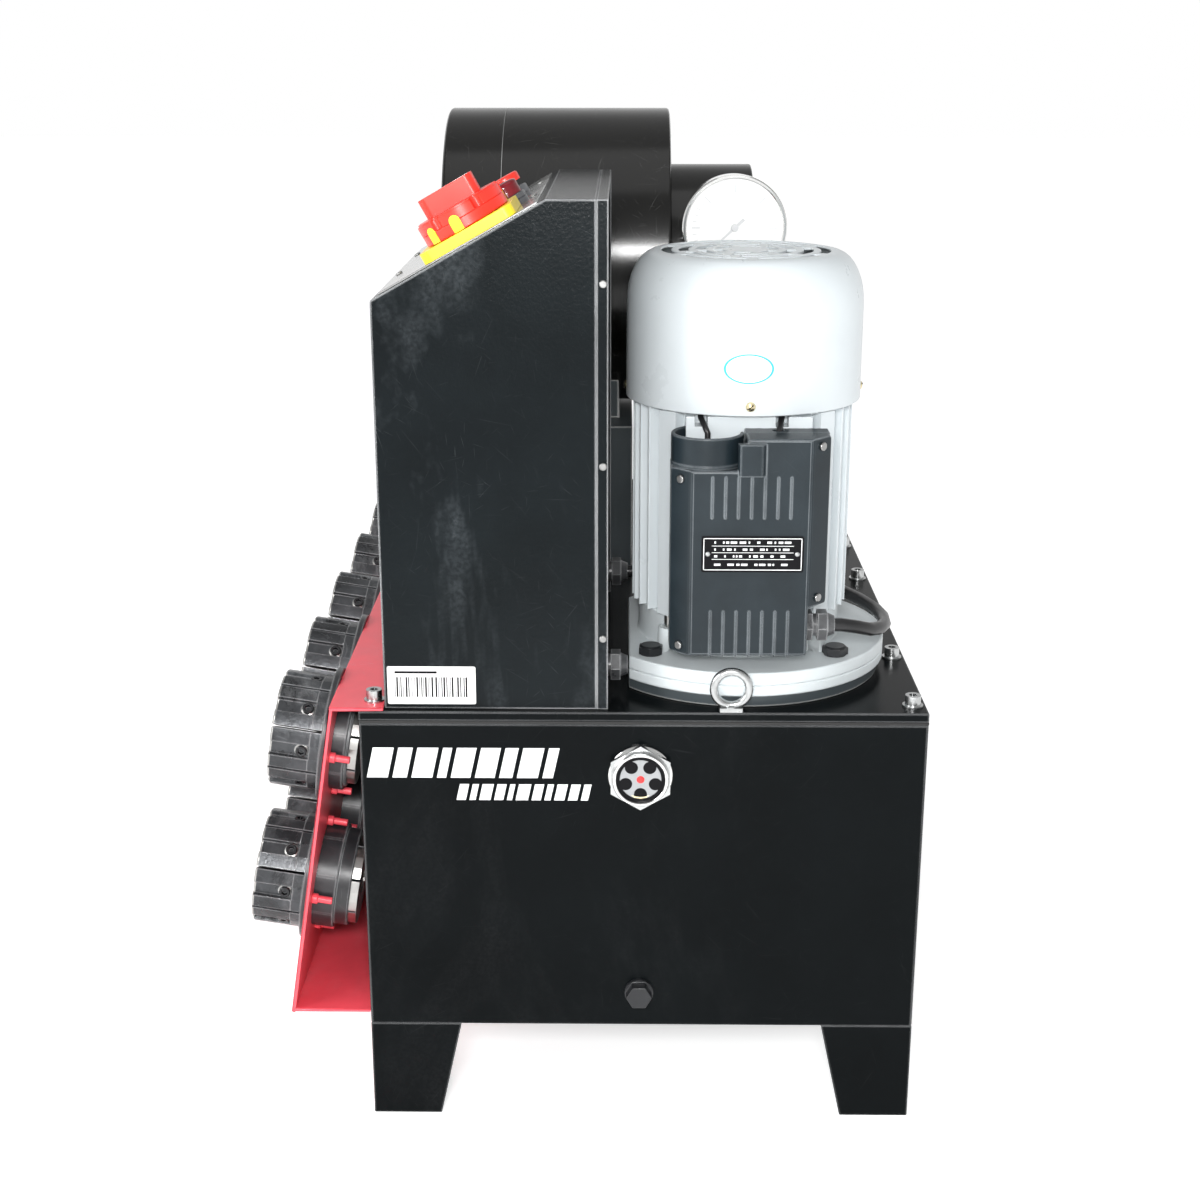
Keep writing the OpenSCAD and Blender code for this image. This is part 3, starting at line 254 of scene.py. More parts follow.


# The edge settings below paint a highlight along sharp edges into the colour.
FINISHES = {
    "black_paint": dict(colour=(0.0026, 0.0036, 0.0041), rough=0.22, spec=0.06, vary=0.25, patch=9,
                        grain=260, bump=0.06, depth=0.0003, scratch=0.12, scratch_scale=40, dust=0.02,
                        edge=0.25),
    "cabinet_paint": dict(colour=(0.0045, 0.0068, 0.008), rough=0.22, spec=0.12, vary=0.3, patch=7,
                          grain=330, bump=0.35, depth=0.0006, scratch=0.3, scratch_scale=38, dust=0.17,
                          dust_colour=(0.3, 0.34, 0.37), edge=0.85),
    "head_paint": dict(colour=(0.0024, 0.0023, 0.0018), rough=0.2, vary=0.2, patch=16, grain=420, bump=0.05,
                       scratch=0.16, scratch_scale=44, scratch_colour=(0.32, 0.32, 0.31)),
    "stand_paint": dict(colour=(0.05, 0.061, 0.067), rough=0.34, spec=0.4, scratch=0.15, dust=0.05,
                        edge=0.9, edge_highlight_colour=(0.6, 0.6, 0.58)),
    "motor_paint": dict(colour=(0.6, 0.645, 0.665), rough=0.3, spec=0.4, vary=0.02, patch=20, grain=240,
                        bump=0.1, depth=0.0003),
    "cast_paint": dict(colour=(0.6, 0.645, 0.66), rough=0.42, spec=0.35, vary=0.05, patch=30, grain=420,
                       bump=0.3, depth=0.0005),
    "red_paint": dict(colour=(0.93, 0.085, 0.115), rough=0.34, grain=500, bump=0.18, scratch=0.3,
                      scratch_scale=30, scratch_colour=(0.8, 0.42, 0.44), dust=0.3,
                      dust_colour=(0.72, 0.33, 0.36)),
    "zinc": dict(colour=(0.5, 0.51, 0.51), rough=0.28, metal=1.0, vary=0.14, patch=60, grain=600, bump=0.2),
    "chrome": dict(colour=(0.8, 0.8, 0.79), rough=0.12, metal=1.0, vary=0.06, patch=40, bump=0.05),
    "bare_steel": dict(colour=(0.46, 0.455, 0.44), rough=0.34, metal=1.0, vary=0.1, patch=40, grain=300,
                       stretch=(1, 1, 8), bump=0.2, aniso=0.3),
    "black_steel": dict(colour=(0.016, 0.017, 0.019), rough=0.32, metal=0.2, vary=0.3, patch=70, bump=0.25),
    "iron": dict(colour=(0.24, 0.245, 0.25), rough=0.5, metal=0.7, vary=0.2, patch=40, bump=0.5),
    "aluminium": dict(colour=(0.62, 0.62, 0.63), rough=0.36, metal=1.0, vary=0.1, patch=30, bump=0.2),
    "copper": dict(colour=(0.44, 0.16, 0.07), rough=0.45, metal=0.4, vary=0.3, patch=60, bump=0.4),
    "can": dict(colour=(0.12, 0.12, 0.14), rough=0.45, vary=0.1, bump=0.2),
    "box_plastic": dict(colour=(0.01, 0.0165, 0.021), rough=0.38, spec=0.3, vary=0.2, patch=26, grain=900,
                        bump=0.3, dust=0.015, dust_colour=(0.27, 0.33, 0.37), scratch=0.1, scratch_scale=40,
                        edge=0.5, edge_highlight_colour=(0.3, 0.33, 0.35)),
    "plastic": dict(colour=(0.015, 0.016, 0.018), rough=0.42, vary=0.15, patch=30, bump=0.3),
    "gland_nylon": dict(colour=(0.055, 0.057, 0.06), rough=0.3, spec=0.6, vary=0.3, patch=90, grain=500,
                        bump=0.3, edge=0.6),
    "bezel": dict(colour=(0.16, 0.165, 0.175), rough=0.28, metal=0.6, vary=0.1, patch=60),
    "yellow": dict(colour=(0.95, 0.74, 0.03), rough=0.35, vary=0.06, patch=40, grain=600),
    "red_plastic": dict(colour=(0.86, 0.035, 0.02), rough=0.3, vary=0.06, patch=50, grain=600, bump=0.1,
                        scratch=0.1),
    "green_plastic": dict(colour=(0.02, 0.35, 0.08), rough=0.3, vary=0.06, patch=50, bump=0.1),
    "lens": dict(colour=(0.17, 0.004, 0.01), rough=0.14, spec=0.4, vary=0.2, patch=120, grain=300,
                 bump=0.05, coat=0.2),
    "panel": dict(colour=(0.6, 0.605, 0.6), rough=0.2, metal=1.0, vary=0.08, patch=20, grain=160,
                  stretch=(0.05, 5, 5), bump=0.06, scratch=0.1, aniso=0.5),
    "die_black": dict(colour=(0.045, 0.048, 0.052), rough=0.28, metal=0.5, spec=0.6, vary=0.7, patch=24,
                      grain=330, bump=0.45, depth=0.0005, scratch=0.35, scratch_scale=34,
                      scratch_colour=(0.32, 0.33, 0.34), dust=0.6, dust_colour=(0.42, 0.43, 0.44),
                      edge=0.35, edge_highlight_colour=(0.55, 0.55, 0.56)),
    "ring_black": dict(colour=(0.026, 0.027, 0.03), rough=0.34, edge=0.5, vary=0.3, patch=50, grain=400,
                       bump=0.3, scratch=0.2, scratch_scale=34, scratch_colour=(0.3, 0.3, 0.31)),
    "screw_steel": dict(colour=(0.36, 0.36, 0.355), rough=0.3, metal=1.0, vary=0.2, patch=80),
    "gasket": dict(colour=(0.01, 0.01, 0.01), rough=0.6, vary=0.1, bump=0.2),
    "cable": dict(colour=(0.01, 0.01, 0.011), rough=0.34, vary=0.2, patch=60, grain=500, bump=0.25),
    "hose": dict(colour=(0.016, 0.016, 0.017), rough=0.55, vary=0.2, patch=60, grain=900, bump=0.6),
    "print_white": dict(colour=(0.86, 0.87, 0.87), rough=0.35, spec=0.4, vary=0.02, bump=0.05),
    "print_black": dict(colour=(0.004, 0.004, 0.005), rough=0.4, spec=0.12, vary=0.1, bump=0.05),
    "print_grey": dict(colour=(0.62, 0.63, 0.64), rough=0.45, vary=0.03, bump=0.05),
    "print_cyan": dict(colour=(0.01, 0.42, 0.62), rough=0.35, vary=0.03, bump=0.05),
    "print_red": dict(colour=(0.75, 0.03, 0.03), rough=0.35, vary=0.03, bump=0.05),
    "label": dict(colour=(0.86, 0.86, 0.85), rough=0.5, vary=0.03, patch=60, bump=0.05),
    "dial": dict(colour=(0.9, 0.9, 0.89), rough=0.5, vary=0.01, bump=0.03),
    "brass": dict(colour=(0.76, 0.66, 0.42), rough=0.25, metal=1.0, patch=80, bump=0.1),
    "reflector": dict(colour=(0.36, 0.37, 0.38), rough=0.35, metal=0.6, vary=0.06, patch=60, bump=0.05),
}
LOOK = {name: finish(name, **settings) for name, settings in FINISHES.items()}

# Look: the nodes of the CAD part that have it. Nodes with a piece of their own below use theirs.
NODES = {
    "black_paint": "tank_shell tank_lid tank_legs",
    "gasket": "lid_gasket",
    "zinc": "m8_screws lifting_eye cover_screws",
    "chrome": "sight_glass pressure_gauge",
    "black_steel": "drain_plug motor_bolts",
    "plastic": "breather_cap cooling_fan contactor",
    "bare_steel": "suction_strainer drive_gear driven_gear motor_bearings motor_rotor head_piston die_1 "
                  "die_2 die_3 die_4 die_5 die_6 die_7 die_8",
    "iron": "pump_body",
    "stand_paint": "mounting_ring head_support",
    "cast_paint": "bellhousing motor_flange",
    "motor_paint": "stator_housing fan_cowl",
    "copper": "stator_core",
    "aluminium": "shaft_coupling",
    "box_plastic": "capacitor_box capacitor_cover",
    "can": "capacitors",
    "cable": "motor_wiring",
    "cabinet_paint": "cabinet_shell rear_cover",
    "panel": "control_panel",
    "gland_nylon": "cable_glands",
    "yellow": "isolator_base",
    "red_plastic": "isolator_handle stop_button open_button",
    "bezel": "button_bezels",
    "lens": "pilot_lamp",
    "green_plastic": "close_button",
    "head_paint": "head_shell head_front_ring head_tail",
    "hose": "pressure_hose",
    "red_paint": "die_rack rack_pins",
    "die_black": "die_sets_upper die_sets_lower",
}


def dress_cad():
    for look, nodes in NODES.items():
        for node in nodes.split():
            for held in frame["nodes"][node].material_slots:
                held.material = LOOK[look]


# ---- Mesh building ----

def turn(axis, degrees):
    return Matrix.Rotation(math.radians(degrees), 4, axis)


def place(x=0, y=0, z=0):
    return Matrix.Translation((x, y, z))


class Shape:
    """A mesh under construction in millimetres; each call adds one closed part."""

    def __init__(self):
        self.bm = bmesh.new()
        self.looks = []

    def look(self, name):
        if name not in self.looks:
            self.looks.append(name)
        return self.looks.index(name)

    def face(self, verts, look):
        distinct = list(dict.fromkeys(verts))
        if len(distinct) > 2:
            made = self.bm.faces.new(distinct)
            made.material_index = self.look(look)

    def prism(self, outline, z0, z1, look, at=Matrix()):
        """The outline, anticlockwise, raised from z0 to z1."""
        floor = [self.bm.verts.new(at @ Vector((x, y, z0))) for x, y in outline]
        roof = [self.bm.verts.new(at @ Vector((x, y, z1))) for x, y in outline]
        self.face(list(reversed(floor)), look)
        self.face(roof, look)
        for i in range(len(outline)):
            j = (i + 1) % len(outline)
            self.face([floor[i], floor[j], roof[j], roof[i]], look)

    def block(self, low, high, look, at=Matrix()):
        corners = [(low[0], low[1]), (high[0], low[1]), (high[0], high[1]), (low[0], high[1])]
        self.prism(corners, low[2], high[2], look, at)

    def spin(self, profile, look, at=Matrix(), steps=64, closed=False):
        """The profile of (radius, height) points turned about z; looks may differ by profile span."""
        rings = []
        for k in range(steps):
            a = 2 * math.pi * k / steps
            rings.append([(r * math.cos(a), r * math.sin(a), z) for r, z in profile])
        self.skin(rings, profile, look, at, closed, True)

    def arc(self, profiles, look, at=Matrix()):
        """A solid sector: closed profiles of (radius, height), each given with its angle."""
        rings = [[(r * math.cos(a), r * math.sin(a), z) for r, z in profile] for a, profile in profiles]
        grid = self.skin(rings, profiles[0][1], look, at, True, False)
        cap = look if isinstance(look, str) else look[3]
        self.face(grid[0], cap)
        self.face(list(reversed(grid[-1])), cap)

    def skin(self, rings, profile, look, at, closed, around):
        """Faces between rings of points; points whose profile radius is 0 are shared by all rings."""
        poles = {}
        grid = []
        for ring in rings:
            row = []
            for j, point in enumerate(ring):
                if abs(profile[j][0]) < 1e-6:
                    if j not in poles:
                        poles[j] = self.bm.verts.new(at @ Vector(point))
                    row.append(poles[j])
                else:
                    row.append(self.bm.verts.new(at @ Vector(point)))
            grid.append(row)
        count = len(profile)
        spans = count if closed else count - 1
        for k in range(len(grid) if around else len(grid) - 1):
            here, there = grid[k], grid[(k + 1) % len(grid)]
            for j in range(spans):
                n = (j + 1) % count
                self.face([here[j], there[j], there[n], here[n]], look if isinstance(look, str) else look[j])
        return grid

    def loft(self, loops, look, at=Matrix()):
        """A closed skin through loops with the same number of points, capped at both ends."""
        grid = [[self.bm.verts.new(at @ Vector(p)) for p in loop] for loop in loops]
        for a, b in zip(grid, grid[1:]):
            for k in range(len(a)):
                n = (k + 1) % len(a)
                self.face([a[k], a[n], b[n], b[k]], look)
        self.face(list(reversed(grid[0])), look)
        self.face(grid[-1], look)

    def hexagon(self, across, z0, z1, look, at=Matrix(), cut=0.0):
        """A hexagonal nut or head with its corners turned down by cut."""
        r = across / 2 / math.cos(math.pi / 6)
        outline = [(r * math.cos(math.pi / 3 * k), r * math.sin(math.pi / 3 * k)) for k in range(6)]
        self.prism(outline, z0, z1 - cut, look, at)
        if cut:
            self.spin([(0, z1 - cut - 0.1), (across / 2 - 0.1, z1 - cut - 0.1), (across / 2 - 0.1, z1 - cut),
                       (across / 2 - 1.2 * cut, z1), (0, z1)], look, at, 36)

    def socket_head(self, r, h, look, at=Matrix(), inner=None):
        """A cylindrical screw head, z 0 to h, with a hexagonal socket; the inner look, when given, darkens
        the socket's walls and floor as painted shade.
        """
        steps = 24
        hole = [0.5 * r / math.cos(math.radians((a + 30) % 60 - 30)) for a in range(0, 360, 360 // steps)]
        rings = []
        for k in range(steps):
            a = 2 * math.pi * k / steps
            s = hole[k]
            shape = [(r, 0), (r, h - 0.12 * r), (r - 0.12 * r, h), (s, h), (s, h - 0.8 * r), (0, h - 0.8 * r)]
            rings.append([(q * math.cos(a), q * math.sin(a), z) for q, z in shape])
        # The socket's walls and floor in the inner look: painted shade in the recess
        dark = inner or look
        self.skin(rings, [(1, 0)] * 5 + [(0, 0)], [look, look, look, dark, dark], at, False, True)

    def tube(self, path, radius, look, sides=16):
        """A round bar along a path, closed at both ends."""
        points = [Vector(p) for p in path]
        normal = None
        rings = []
        for i, point in enumerate(points):
            ahead = points[min(i + 1, len(points) - 1)] - points[max(i - 1, 0)]
            ahead.normalize()
            if normal is None:
                normal = ahead.orthogonal().normalized()
            normal = (normal - ahead * normal.dot(ahead)).normalized()
            side = ahead.cross(normal)
            rings.append([point + radius * (math.cos(a) * normal + math.sin(a) * side)
                          for a in (2 * math.pi * k / sides for k in range(sides))])
        self.loft(rings, look)

    def copy_of(self, node, look):
        """The CAD node's mesh with its flat faces joined up."""
        part = bmesh.new()
        part.from_mesh(frame["nodes"][node].data)
        bmesh.ops.scale(part, vec=(1 / MM,) * 3, verts=part.verts)
        bmesh.ops.remove_doubles(part, verts=part.verts, dist=0.005)
        bmesh.ops.dissolve_limit(part, angle_limit=0.01, verts=part.verts, edges=part.edges)
        for f in part.faces:
            f.material_index = self.look(look)
        held = bpy.data.meshes.new("part")
        part.to_mesh(held)
        part.free()
        self.bm.from_mesh(held)
        bpy.data.meshes.remove(held)

    def make(self, name, body="machine", replaces=(), bevel=0.0, segments=2, angle=32,
             shortest=3.5):
        """Turns the shape into a piece that rides on a CAD body. Sharp edges of at least the shortest length
        are rounded by the bevel."""
        bmesh.ops.recalc_face_normals(self.bm, faces=self.bm.faces)
        if bevel:
            weight = self.bm.edges.layers.float.new("bevel_weight_edge")
            for edge in self.bm.edges:
                sharp = edge.calc_face_angle(0) > math.radians(angle)
                edge[weight] = 1.0 if sharp and edge.calc_length() >= shortest else 0.0
        mesh = bpy.data.meshes.new(name)
        self.bm.to_mesh(mesh)
        self.bm.free()
        mesh.transform(Matrix.Scale(MM, 4))
        for polygon in mesh.polygons:
            polygon.use_smooth = True
        mesh.set_sharp_from_angle(angle=math.radians(angle))
        for look in self.looks:
            mesh.materials.append(LOOK[look])
        obj = bpy.data.objects.new(name, mesh)
        bpy.context.scene.collection.objects.link(obj)
        if bevel:
            soft = obj.modifiers.new("soft_edges", "BEVEL")
            soft.width = bevel * MM
            soft.segments = segments
            soft.limit_method = "WEIGHT"
            soft.use_clamp_overlap = shortest < 1
        obj.modifiers.new("normals", "WEIGHTED_NORMAL").keep_sharp = True
        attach(obj, body)
        if replaces:
            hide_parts(*replaces)
        return obj


def softened(node, look, bevel, shortest=3.5, angle=32):
    """A piece that stands for a CAD node, with the same shape and softened edges."""
    shape = Shape()
    shape.copy_of(node, look)
    return shape.make(node + "_finished", "machine", [node], bevel, angle=angle, shortest=shortest)


def filleted(points, r):
    """The outline with each corner replaced by a curve that starts r from it."""
    steps = 4
    result = []
    for i, (x, y) in enumerate(points):
        corner = Vector((x, y))
        ends = []
        for other in (points[i - 1], points[(i + 1) % len(points)]):
            away = Vector(other) - corner
            ends.append(corner + away.normalized() * min(r, away.length * 0.45))
        for k in range(steps + 1):
            t = k / steps
            mid = (1 - t) ** 2 * ends[0] + 2 * t * (1 - t) * corner + t * t * ends[1]
            result.append((mid.x, mid.y))
    return result


def rounded(x0, y0, x1, y1, r):
    """Corner-rounded rectangle, anticlockwise."""
    steps = 6
    points = []
    corners = ((x1 - r, y0 + r, -90), (x1 - r, y1 - r, 0), (x0 + r, y1 - r, 90), (x0 + r, y0 + r, 180))
    for cx, cy, start in corners:
        for k in range(steps + 1):
            a = math.radians(start + 90 * k / steps)
            points.append((cx + r * math.cos(a), cy + r * math.sin(a)))
    return points


# ---- Places, from the frame ----

def span(node):
    """Low and high corner of a CAD node's box, in millimetres."""
    lo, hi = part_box(node)
    return lo / MM, hi / MM


def joint(name):
    return next(j for j in frame["joints"] if j["name"] == name)


lid_lo, lid_hi = span("tank_lid")
shell_lo, shell_hi = span("tank_shell")
near_x, top_z = lid_hi.x, lid_hi.z
cowl_lo, cowl_hi = span("fan_cowl")
motor_x, motor_y = (cowl_lo.x + cowl_hi.x) / 2, (cowl_lo.y + cowl_hi.y) / 2
cowl_r = (cowl_hi.x - cowl_lo.x) / 2
head_lo, head_hi = span("head_shell")
ring_lo = span("head_front_ring")[0]
head_x, head_z = (head_lo.x + head_hi.x) / 2, (head_lo.z + head_hi.z) / 2
cover_lo, cover_hi = span("capacitor_cover")
cab_lo, cab_hi = span("cabinet_shell")

# Frame of the sloping panel: x as the part's, y up the slope, z out of the panel
iso = joint("isolator_turn")
panel_out = -Vector(iso["axis"]).normalized()
panel_up = panel_out.cross(Vector((1, 0, 0)))
panel_turn = Matrix((Vector((1, 0, 0)), panel_up, panel_out)).transposed().to_4x4()

# Places on it: x inwards from the cabinet's near side, y up the slope
ISOLATOR_AT = (50, 88)
LAMP_AT = (122, 118)
STOP_AT = (170, 118)
CLOSE_AT = (226, 60)
OPEN_AT = (276, 60)
PIVOT_RISE = 20          # the isolator's pivot above the panel


def on_slope(x, y):
    """Frame on the sloping panel at one of the places above."""
    seat = Vector(iso["pos_m"]) / MM - PIVOT_RISE * panel_out
    point = seat + Vector((ISOLATOR_AT[0] - x, 0, 0)) + (y - ISOLATOR_AT[1]) * panel_up
    return Matrix.Translation(point) @ panel_turn


mid_y = (lid_lo.y + lid_hi.y) / 2
in_head = place(head_x, head_hi.y, head_z) @ turn("X", 90)
motor = place(motor_x, motor_y, 0)
FACING_X = turn("Y", 90)
# Lays an outline drawn in (y, z) on a face that looks along +X
SIDE = Matrix(((0, 0, 1, 0), (1, 0, 0, 0), (0, 1, 0, 0), (0, 0, 0, 1)))


# ---- Tank, rack and stand ----

PROUD = 0.02             # prints start this far off their face
PRINT = 0.12             # and are this thick


def slanted_bars(shape, x, y0, y1, z0, z1, widths):
    """Generic slanted stripes printed on a face that looks along +X."""
    gap = 0.35
    lean = 0.22 * (z1 - z0)
    step = (y1 - y0 - lean) / sum(w + gap for w in widths)
    y = y0
    for w in widths:
        corners = [(y, z0), (y + w * step, z0), (y + w * step + lean, z1), (y + lean, z1)]
        shape.prism(corners, 0, PRINT, "print_white", place(x, 0, 0) @ SIDE)
        y += (w + gap) * step


def make_tank():
    softened("tank_shell", "black_paint", 1.5)
    softened("tank_lid", "black_paint", 1.0)
    softened("tank_legs", "black_paint", 0.8)
    softened("die_rack", "red_paint", 0.8)
    softened("head_support", "stand_paint", 1.0)
    softened("m8_screws", "zinc", 0.5, shortest=0)
    softened("breather_cap", "plastic", 1.2)
    softened("drain_plug", "black_steel", 0.8)
    prints = Shape()
    face = shell_hi.x + PROUD
    upper = [1.6, 1.1, 1.6, 0.7, 1.5, 1.5, 1.0, 1.6, 0.8]
    lower = [0.9, 0.6, 1.1, 0.9, 0.5, 1.2, 0.9, 0.6, 1.0, 0.9, 0.7]
    slanted_bars(prints, face, shell_lo.y + 5, -10, 312, 338, upper)
    slanted_bars(prints, face, -98, 15, 292.5, 306.5, lower)
    prints.make("tank_prints")


def make_eye():
    lo, hi = span("lifting_eye")
    seat = place((lo.x + hi.x) / 2, (lo.y + hi.y) / 2, top_z)
    ring, wire, centre = 14.2, 3.4, 18.7
    turns = [2 * math.pi * k / 20 for k in range(20)]
    section = [(ring + wire * math.cos(a), wire * math.sin(a)) for a in turns]
    shape = Shape()
    shape.spin(section, "zinc", seat @ place(0, 0, centre) @ FACING_X, 56, closed=True)
    shape.spin([(0, 5.6), (3.4, 5.6), (4.6, 4.2), (5.4, 4), (5.4, 0.4), (5, 0), (0, 0)], "zinc", seat, 32)
    shape.prism(rounded(-5.4, -9.8, 5.4, 9.8, 2), 0.05, 3.4, "zinc", seat)
    shank_r, shank = 3.5, -7.5
    shape.spin([(0, 0), (shank_r, 0), (shank_r, shank), (0, shank)], "zinc", seat, 24)
    shape.make("lifting_eye_finished", replaces=["lifting_eye"], bevel=0.6)


def make_sight_glass():
    lo, hi = span("sight_glass")
    seat = place(near_x, (lo.y + hi.y) / 2, (lo.z + hi.z) / 2) @ FACING_X
    shape = Shape()
    # Round flange with its hollow shank, and the hexagon on it
    shape.spin([(17, -16), (21, -16), (21, 0), (25.6, 0), (26, 0.5), (26, 2.4), (25.4, 3), (17, 3)],
               "chrome", seat, 72, closed=True)
    shape.hexagon(48, 3, 8.9, "zinc", seat, 1.6)
    # Rim of the window, its dark ground and the reflector
    shape.spin([(20, 8.6), (22.5, 8.6), (22.5, 11.4), (22, 11.95), (20.6, 11.95), (20, 11.4)],
               "chrome", seat, 72, closed=True)
    shape.spin([(0, 9.2), (20.2, 9.2), (20.2, 8.7), (0, 8.7)], "print_black", seat, 64)
    shape.spin([(0, 9.5), (16.4, 9.5), (16.8, 9.2), (0, 9.2)], "reflector", seat, 64)
    holes, hole_at = 5, 12.6
    for k in range(holes):
        hole = seat @ turn("Z", 360 / holes * k) @ place(hole_at, 0, 0)
        shape.spin([(0, 9.62), (5.2, 9.62), (5.4, 9.4), (0, 9.4)], "print_black", hole, 32)
    # Glint of oil at the bottom and the red dot in the middle
    glint = [(13.4, -7.5), (15.6, -5.2), (16.5, 0), (15.6, 5.2), (13.4, 7.5), (14.6, 3.6), (15, 0),
             (14.6, -3.6)]
    shape.prism(glint, 9.5, 9.7, "brass", seat)
    shape.spin([(0, 10.2), (2.4, 10.1), (3.3, 9.4), (0, 9.4)], "print_red", seat, 32)
    shape.make("sight_glass_finished", replaces=["sight_glass"])


# ---- Motor ----

def on_cowl(y, z, proud):
    """Point on the cowl's near side, y across it from the axis."""
    a = y / cowl_r
    r = cowl_r + proud
    return Vector((motor_x + r * math.cos(a), motor_y + r * math.sin(a), z))


def make_motor():
    softened("mounting_ring", "stand_paint", 0.8)
    softened("bellhousing", "cast_paint", 1.2)
    softened("motor_flange", "cast_paint", 1.2)
    softened("stator_housing", "motor_paint", 0.6)
    softened("fan_cowl", "motor_paint", 0.7)
    make_motor_bolts()
    make_cowl_screws()
    make_sticker()


def make_motor_bolts():
    """Four flange bolts with washers, and the four tie rods with their nuts under the cowl."""
    bolt_circle, rod_circle, flange_t = 107.5, 86, 15
    bolts = Shape()
    seat_z = span("motor_flange")[0].z + flange_t
    end = span("motor_bolts")[0].z - seat_z
    rod_top, rod_end = cowl_lo.z + 7, seat_z + 5
    for a in (45, 135, 225, 315):
        bolt = motor @ turn("Z", a) @ place(bolt_circle, 0, seat_z)
        bolts.hexagon(18.9, 0.9, 8, "black_steel", bolt @ turn("Z", a * 0.7), 1.3)
        bolts.spin([(0, 0.9), (9.2, 0.9), (9.2, 0), (6, 0), (6, end), (0, end)],
                   ["black_steel", "black_steel", "black_steel", "zinc", "zinc"], bolt, 36)
        rod = motor @ turn("Z", a) @ place(rod_circle, 0, 0)
        bolts.spin([(0, rod_top), (4, rod_top), (4, rod_end), (0, rod_end)], "bare_steel", rod, 24)
        bolts.hexagon(13, cowl_lo.z + 1, cowl_lo.z + 6.5, "zinc", rod, 0.8)
    bolts.make("motor_bolts_finished", replaces=["motor_bolts"], bevel=0.3)


def make_cowl_screws():
    rise = 7.7
    trim = Shape()
    for a in (0, 90, 180, 270):
        head = motor @ turn("Z", a) @ place(cowl_r, 0, cowl_lo.z + rise) @ FACING_X
        trim.spin([(0, 2.3), (1.6, 2.2), (3.2, 1.5), (4, 0.2), (4, 0), (0, 0)], "brass", head, 28)
        # The slot is a black bar on the head: painted shade for the groove
        trim.block((-0.45, -2.6, 2.0), (0.45, 2.6, 2.36), "print_black", head @ turn("Z", 40 + a))
    trim.make("cowl_screws")


def make_sticker():
    """A blank white oval with a cyan rim, wrapped on the cowl."""
    steps = 72
    half_w, half_h, off, rise = 19.6, 11.6, -2, 37.5
    sticker = Shape()
    rings = []
    for scale, proud in ((1, 0.05), (0.995, 0.17), (0.915, 0.18)):
        ring = []
        for k in range(steps):
            a = 2 * math.pi * k / steps
            z = cowl_lo.z + rise + half_h * scale * math.sin(a)
            ring.append(sticker.bm.verts.new(on_cowl(half_w * scale * math.cos(a) + off, z, proud)))
        rings.append(ring)
    centre = sticker.bm.verts.new(on_cowl(off, cowl_lo.z + rise, 0.18))
    for outer, inner in zip(rings, rings[1:]):
        for k in range(steps):
            n = (k + 1) % steps
            sticker.face([outer[k], outer[n], inner[n], inner[k]], "print_cyan")
    for k in range(steps):
        sticker.face([rings[-1][k], rings[-1][(k + 1) % steps], centre], "print_white")
    sticker.make("cowl_sticker", angle=60)


def make_capacitor_box():
    softened("capacitor_box", "box_plastic", 0.8)
    make_cover()
    make_plate()


def make_cover():
    """The box's cover: chamfered sides, a half-round collar and a block at the top, and two rows of ribs."""
    face = cover_hi.x
    seat = place(0, motor_y, cover_lo.z)
    h = cover_hi.z - cover_lo.z
    half_w, foot_w, foot_h = 62, 47, 40
    notch_y, notch = -4, 25
    outline = filleted([(-half_w, 0), (foot_w, 0), (foot_w, foot_h), (half_w, foot_h), (half_w, h),
                        (notch_y, h), (notch_y, h - notch), (-half_w, h - notch)], 3)
    # Sections through the cover: x, half width it is cut to, and how far the ends draw in
    sections = ((cover_lo.x, half_w, 0), (face - 16, half_w, 0), (face - 15, 61.4, 0),
                (face - 2.2, 48.6, 0), (face - 0.7, 46.6, 0.7), (face, 44.6, 2.4))
    loops = [[(x, max(-side, min(side, y)), z + math.copysign(inset, h / 2 - z)) for y, z in outline]
             for x, side, inset in sections]
    cover = Shape()
    cover.loft(loops, "box_plastic", seat)
    collar = seat @ place(face - 28.5, -33.5, 0)
    wall = [(25.5, h - 25), (28.5, h - 25), (29, h - 24.4), (29, h - 22.6), (28.5, h - 22), (28.5, h - 0.9),
            (27.7, h), (26.3, h), (25.5, h - 0.8)]
    cover.arc([(math.radians(a), wall) for a in range(-160, 91, 5)], "box_plastic", collar)
    block = filleted([(face - 5, -11), (face + 3.6, -9.5), (face + 3.6, 8), (face - 5, 15)], 1.5)
    cover.prism(block, h - 29, h - 4, "box_plastic", seat)
    pitch, off, half_rib, proud = 10.2, 0.4, 0.55, 0.6
    for k in range(-3, 4):
        y = pitch * k + off
        for z0, z1 in ((h - 63, h - 29.5), (-0.2, 38)):
            rib = [(y - half_rib, z0), (y + half_rib, z0), (y + half_rib, z1 - 0.6), (y, z1),
                   (y - half_rib, z1 - 0.6)]
            cover.prism(rib, face - 3, face + proud, "box_plastic", seat @ SIDE)
    cover.make("capacitor_cover_finished", replaces=["capacitor_cover"], bevel=0.35,
               shortest=1, angle=25)


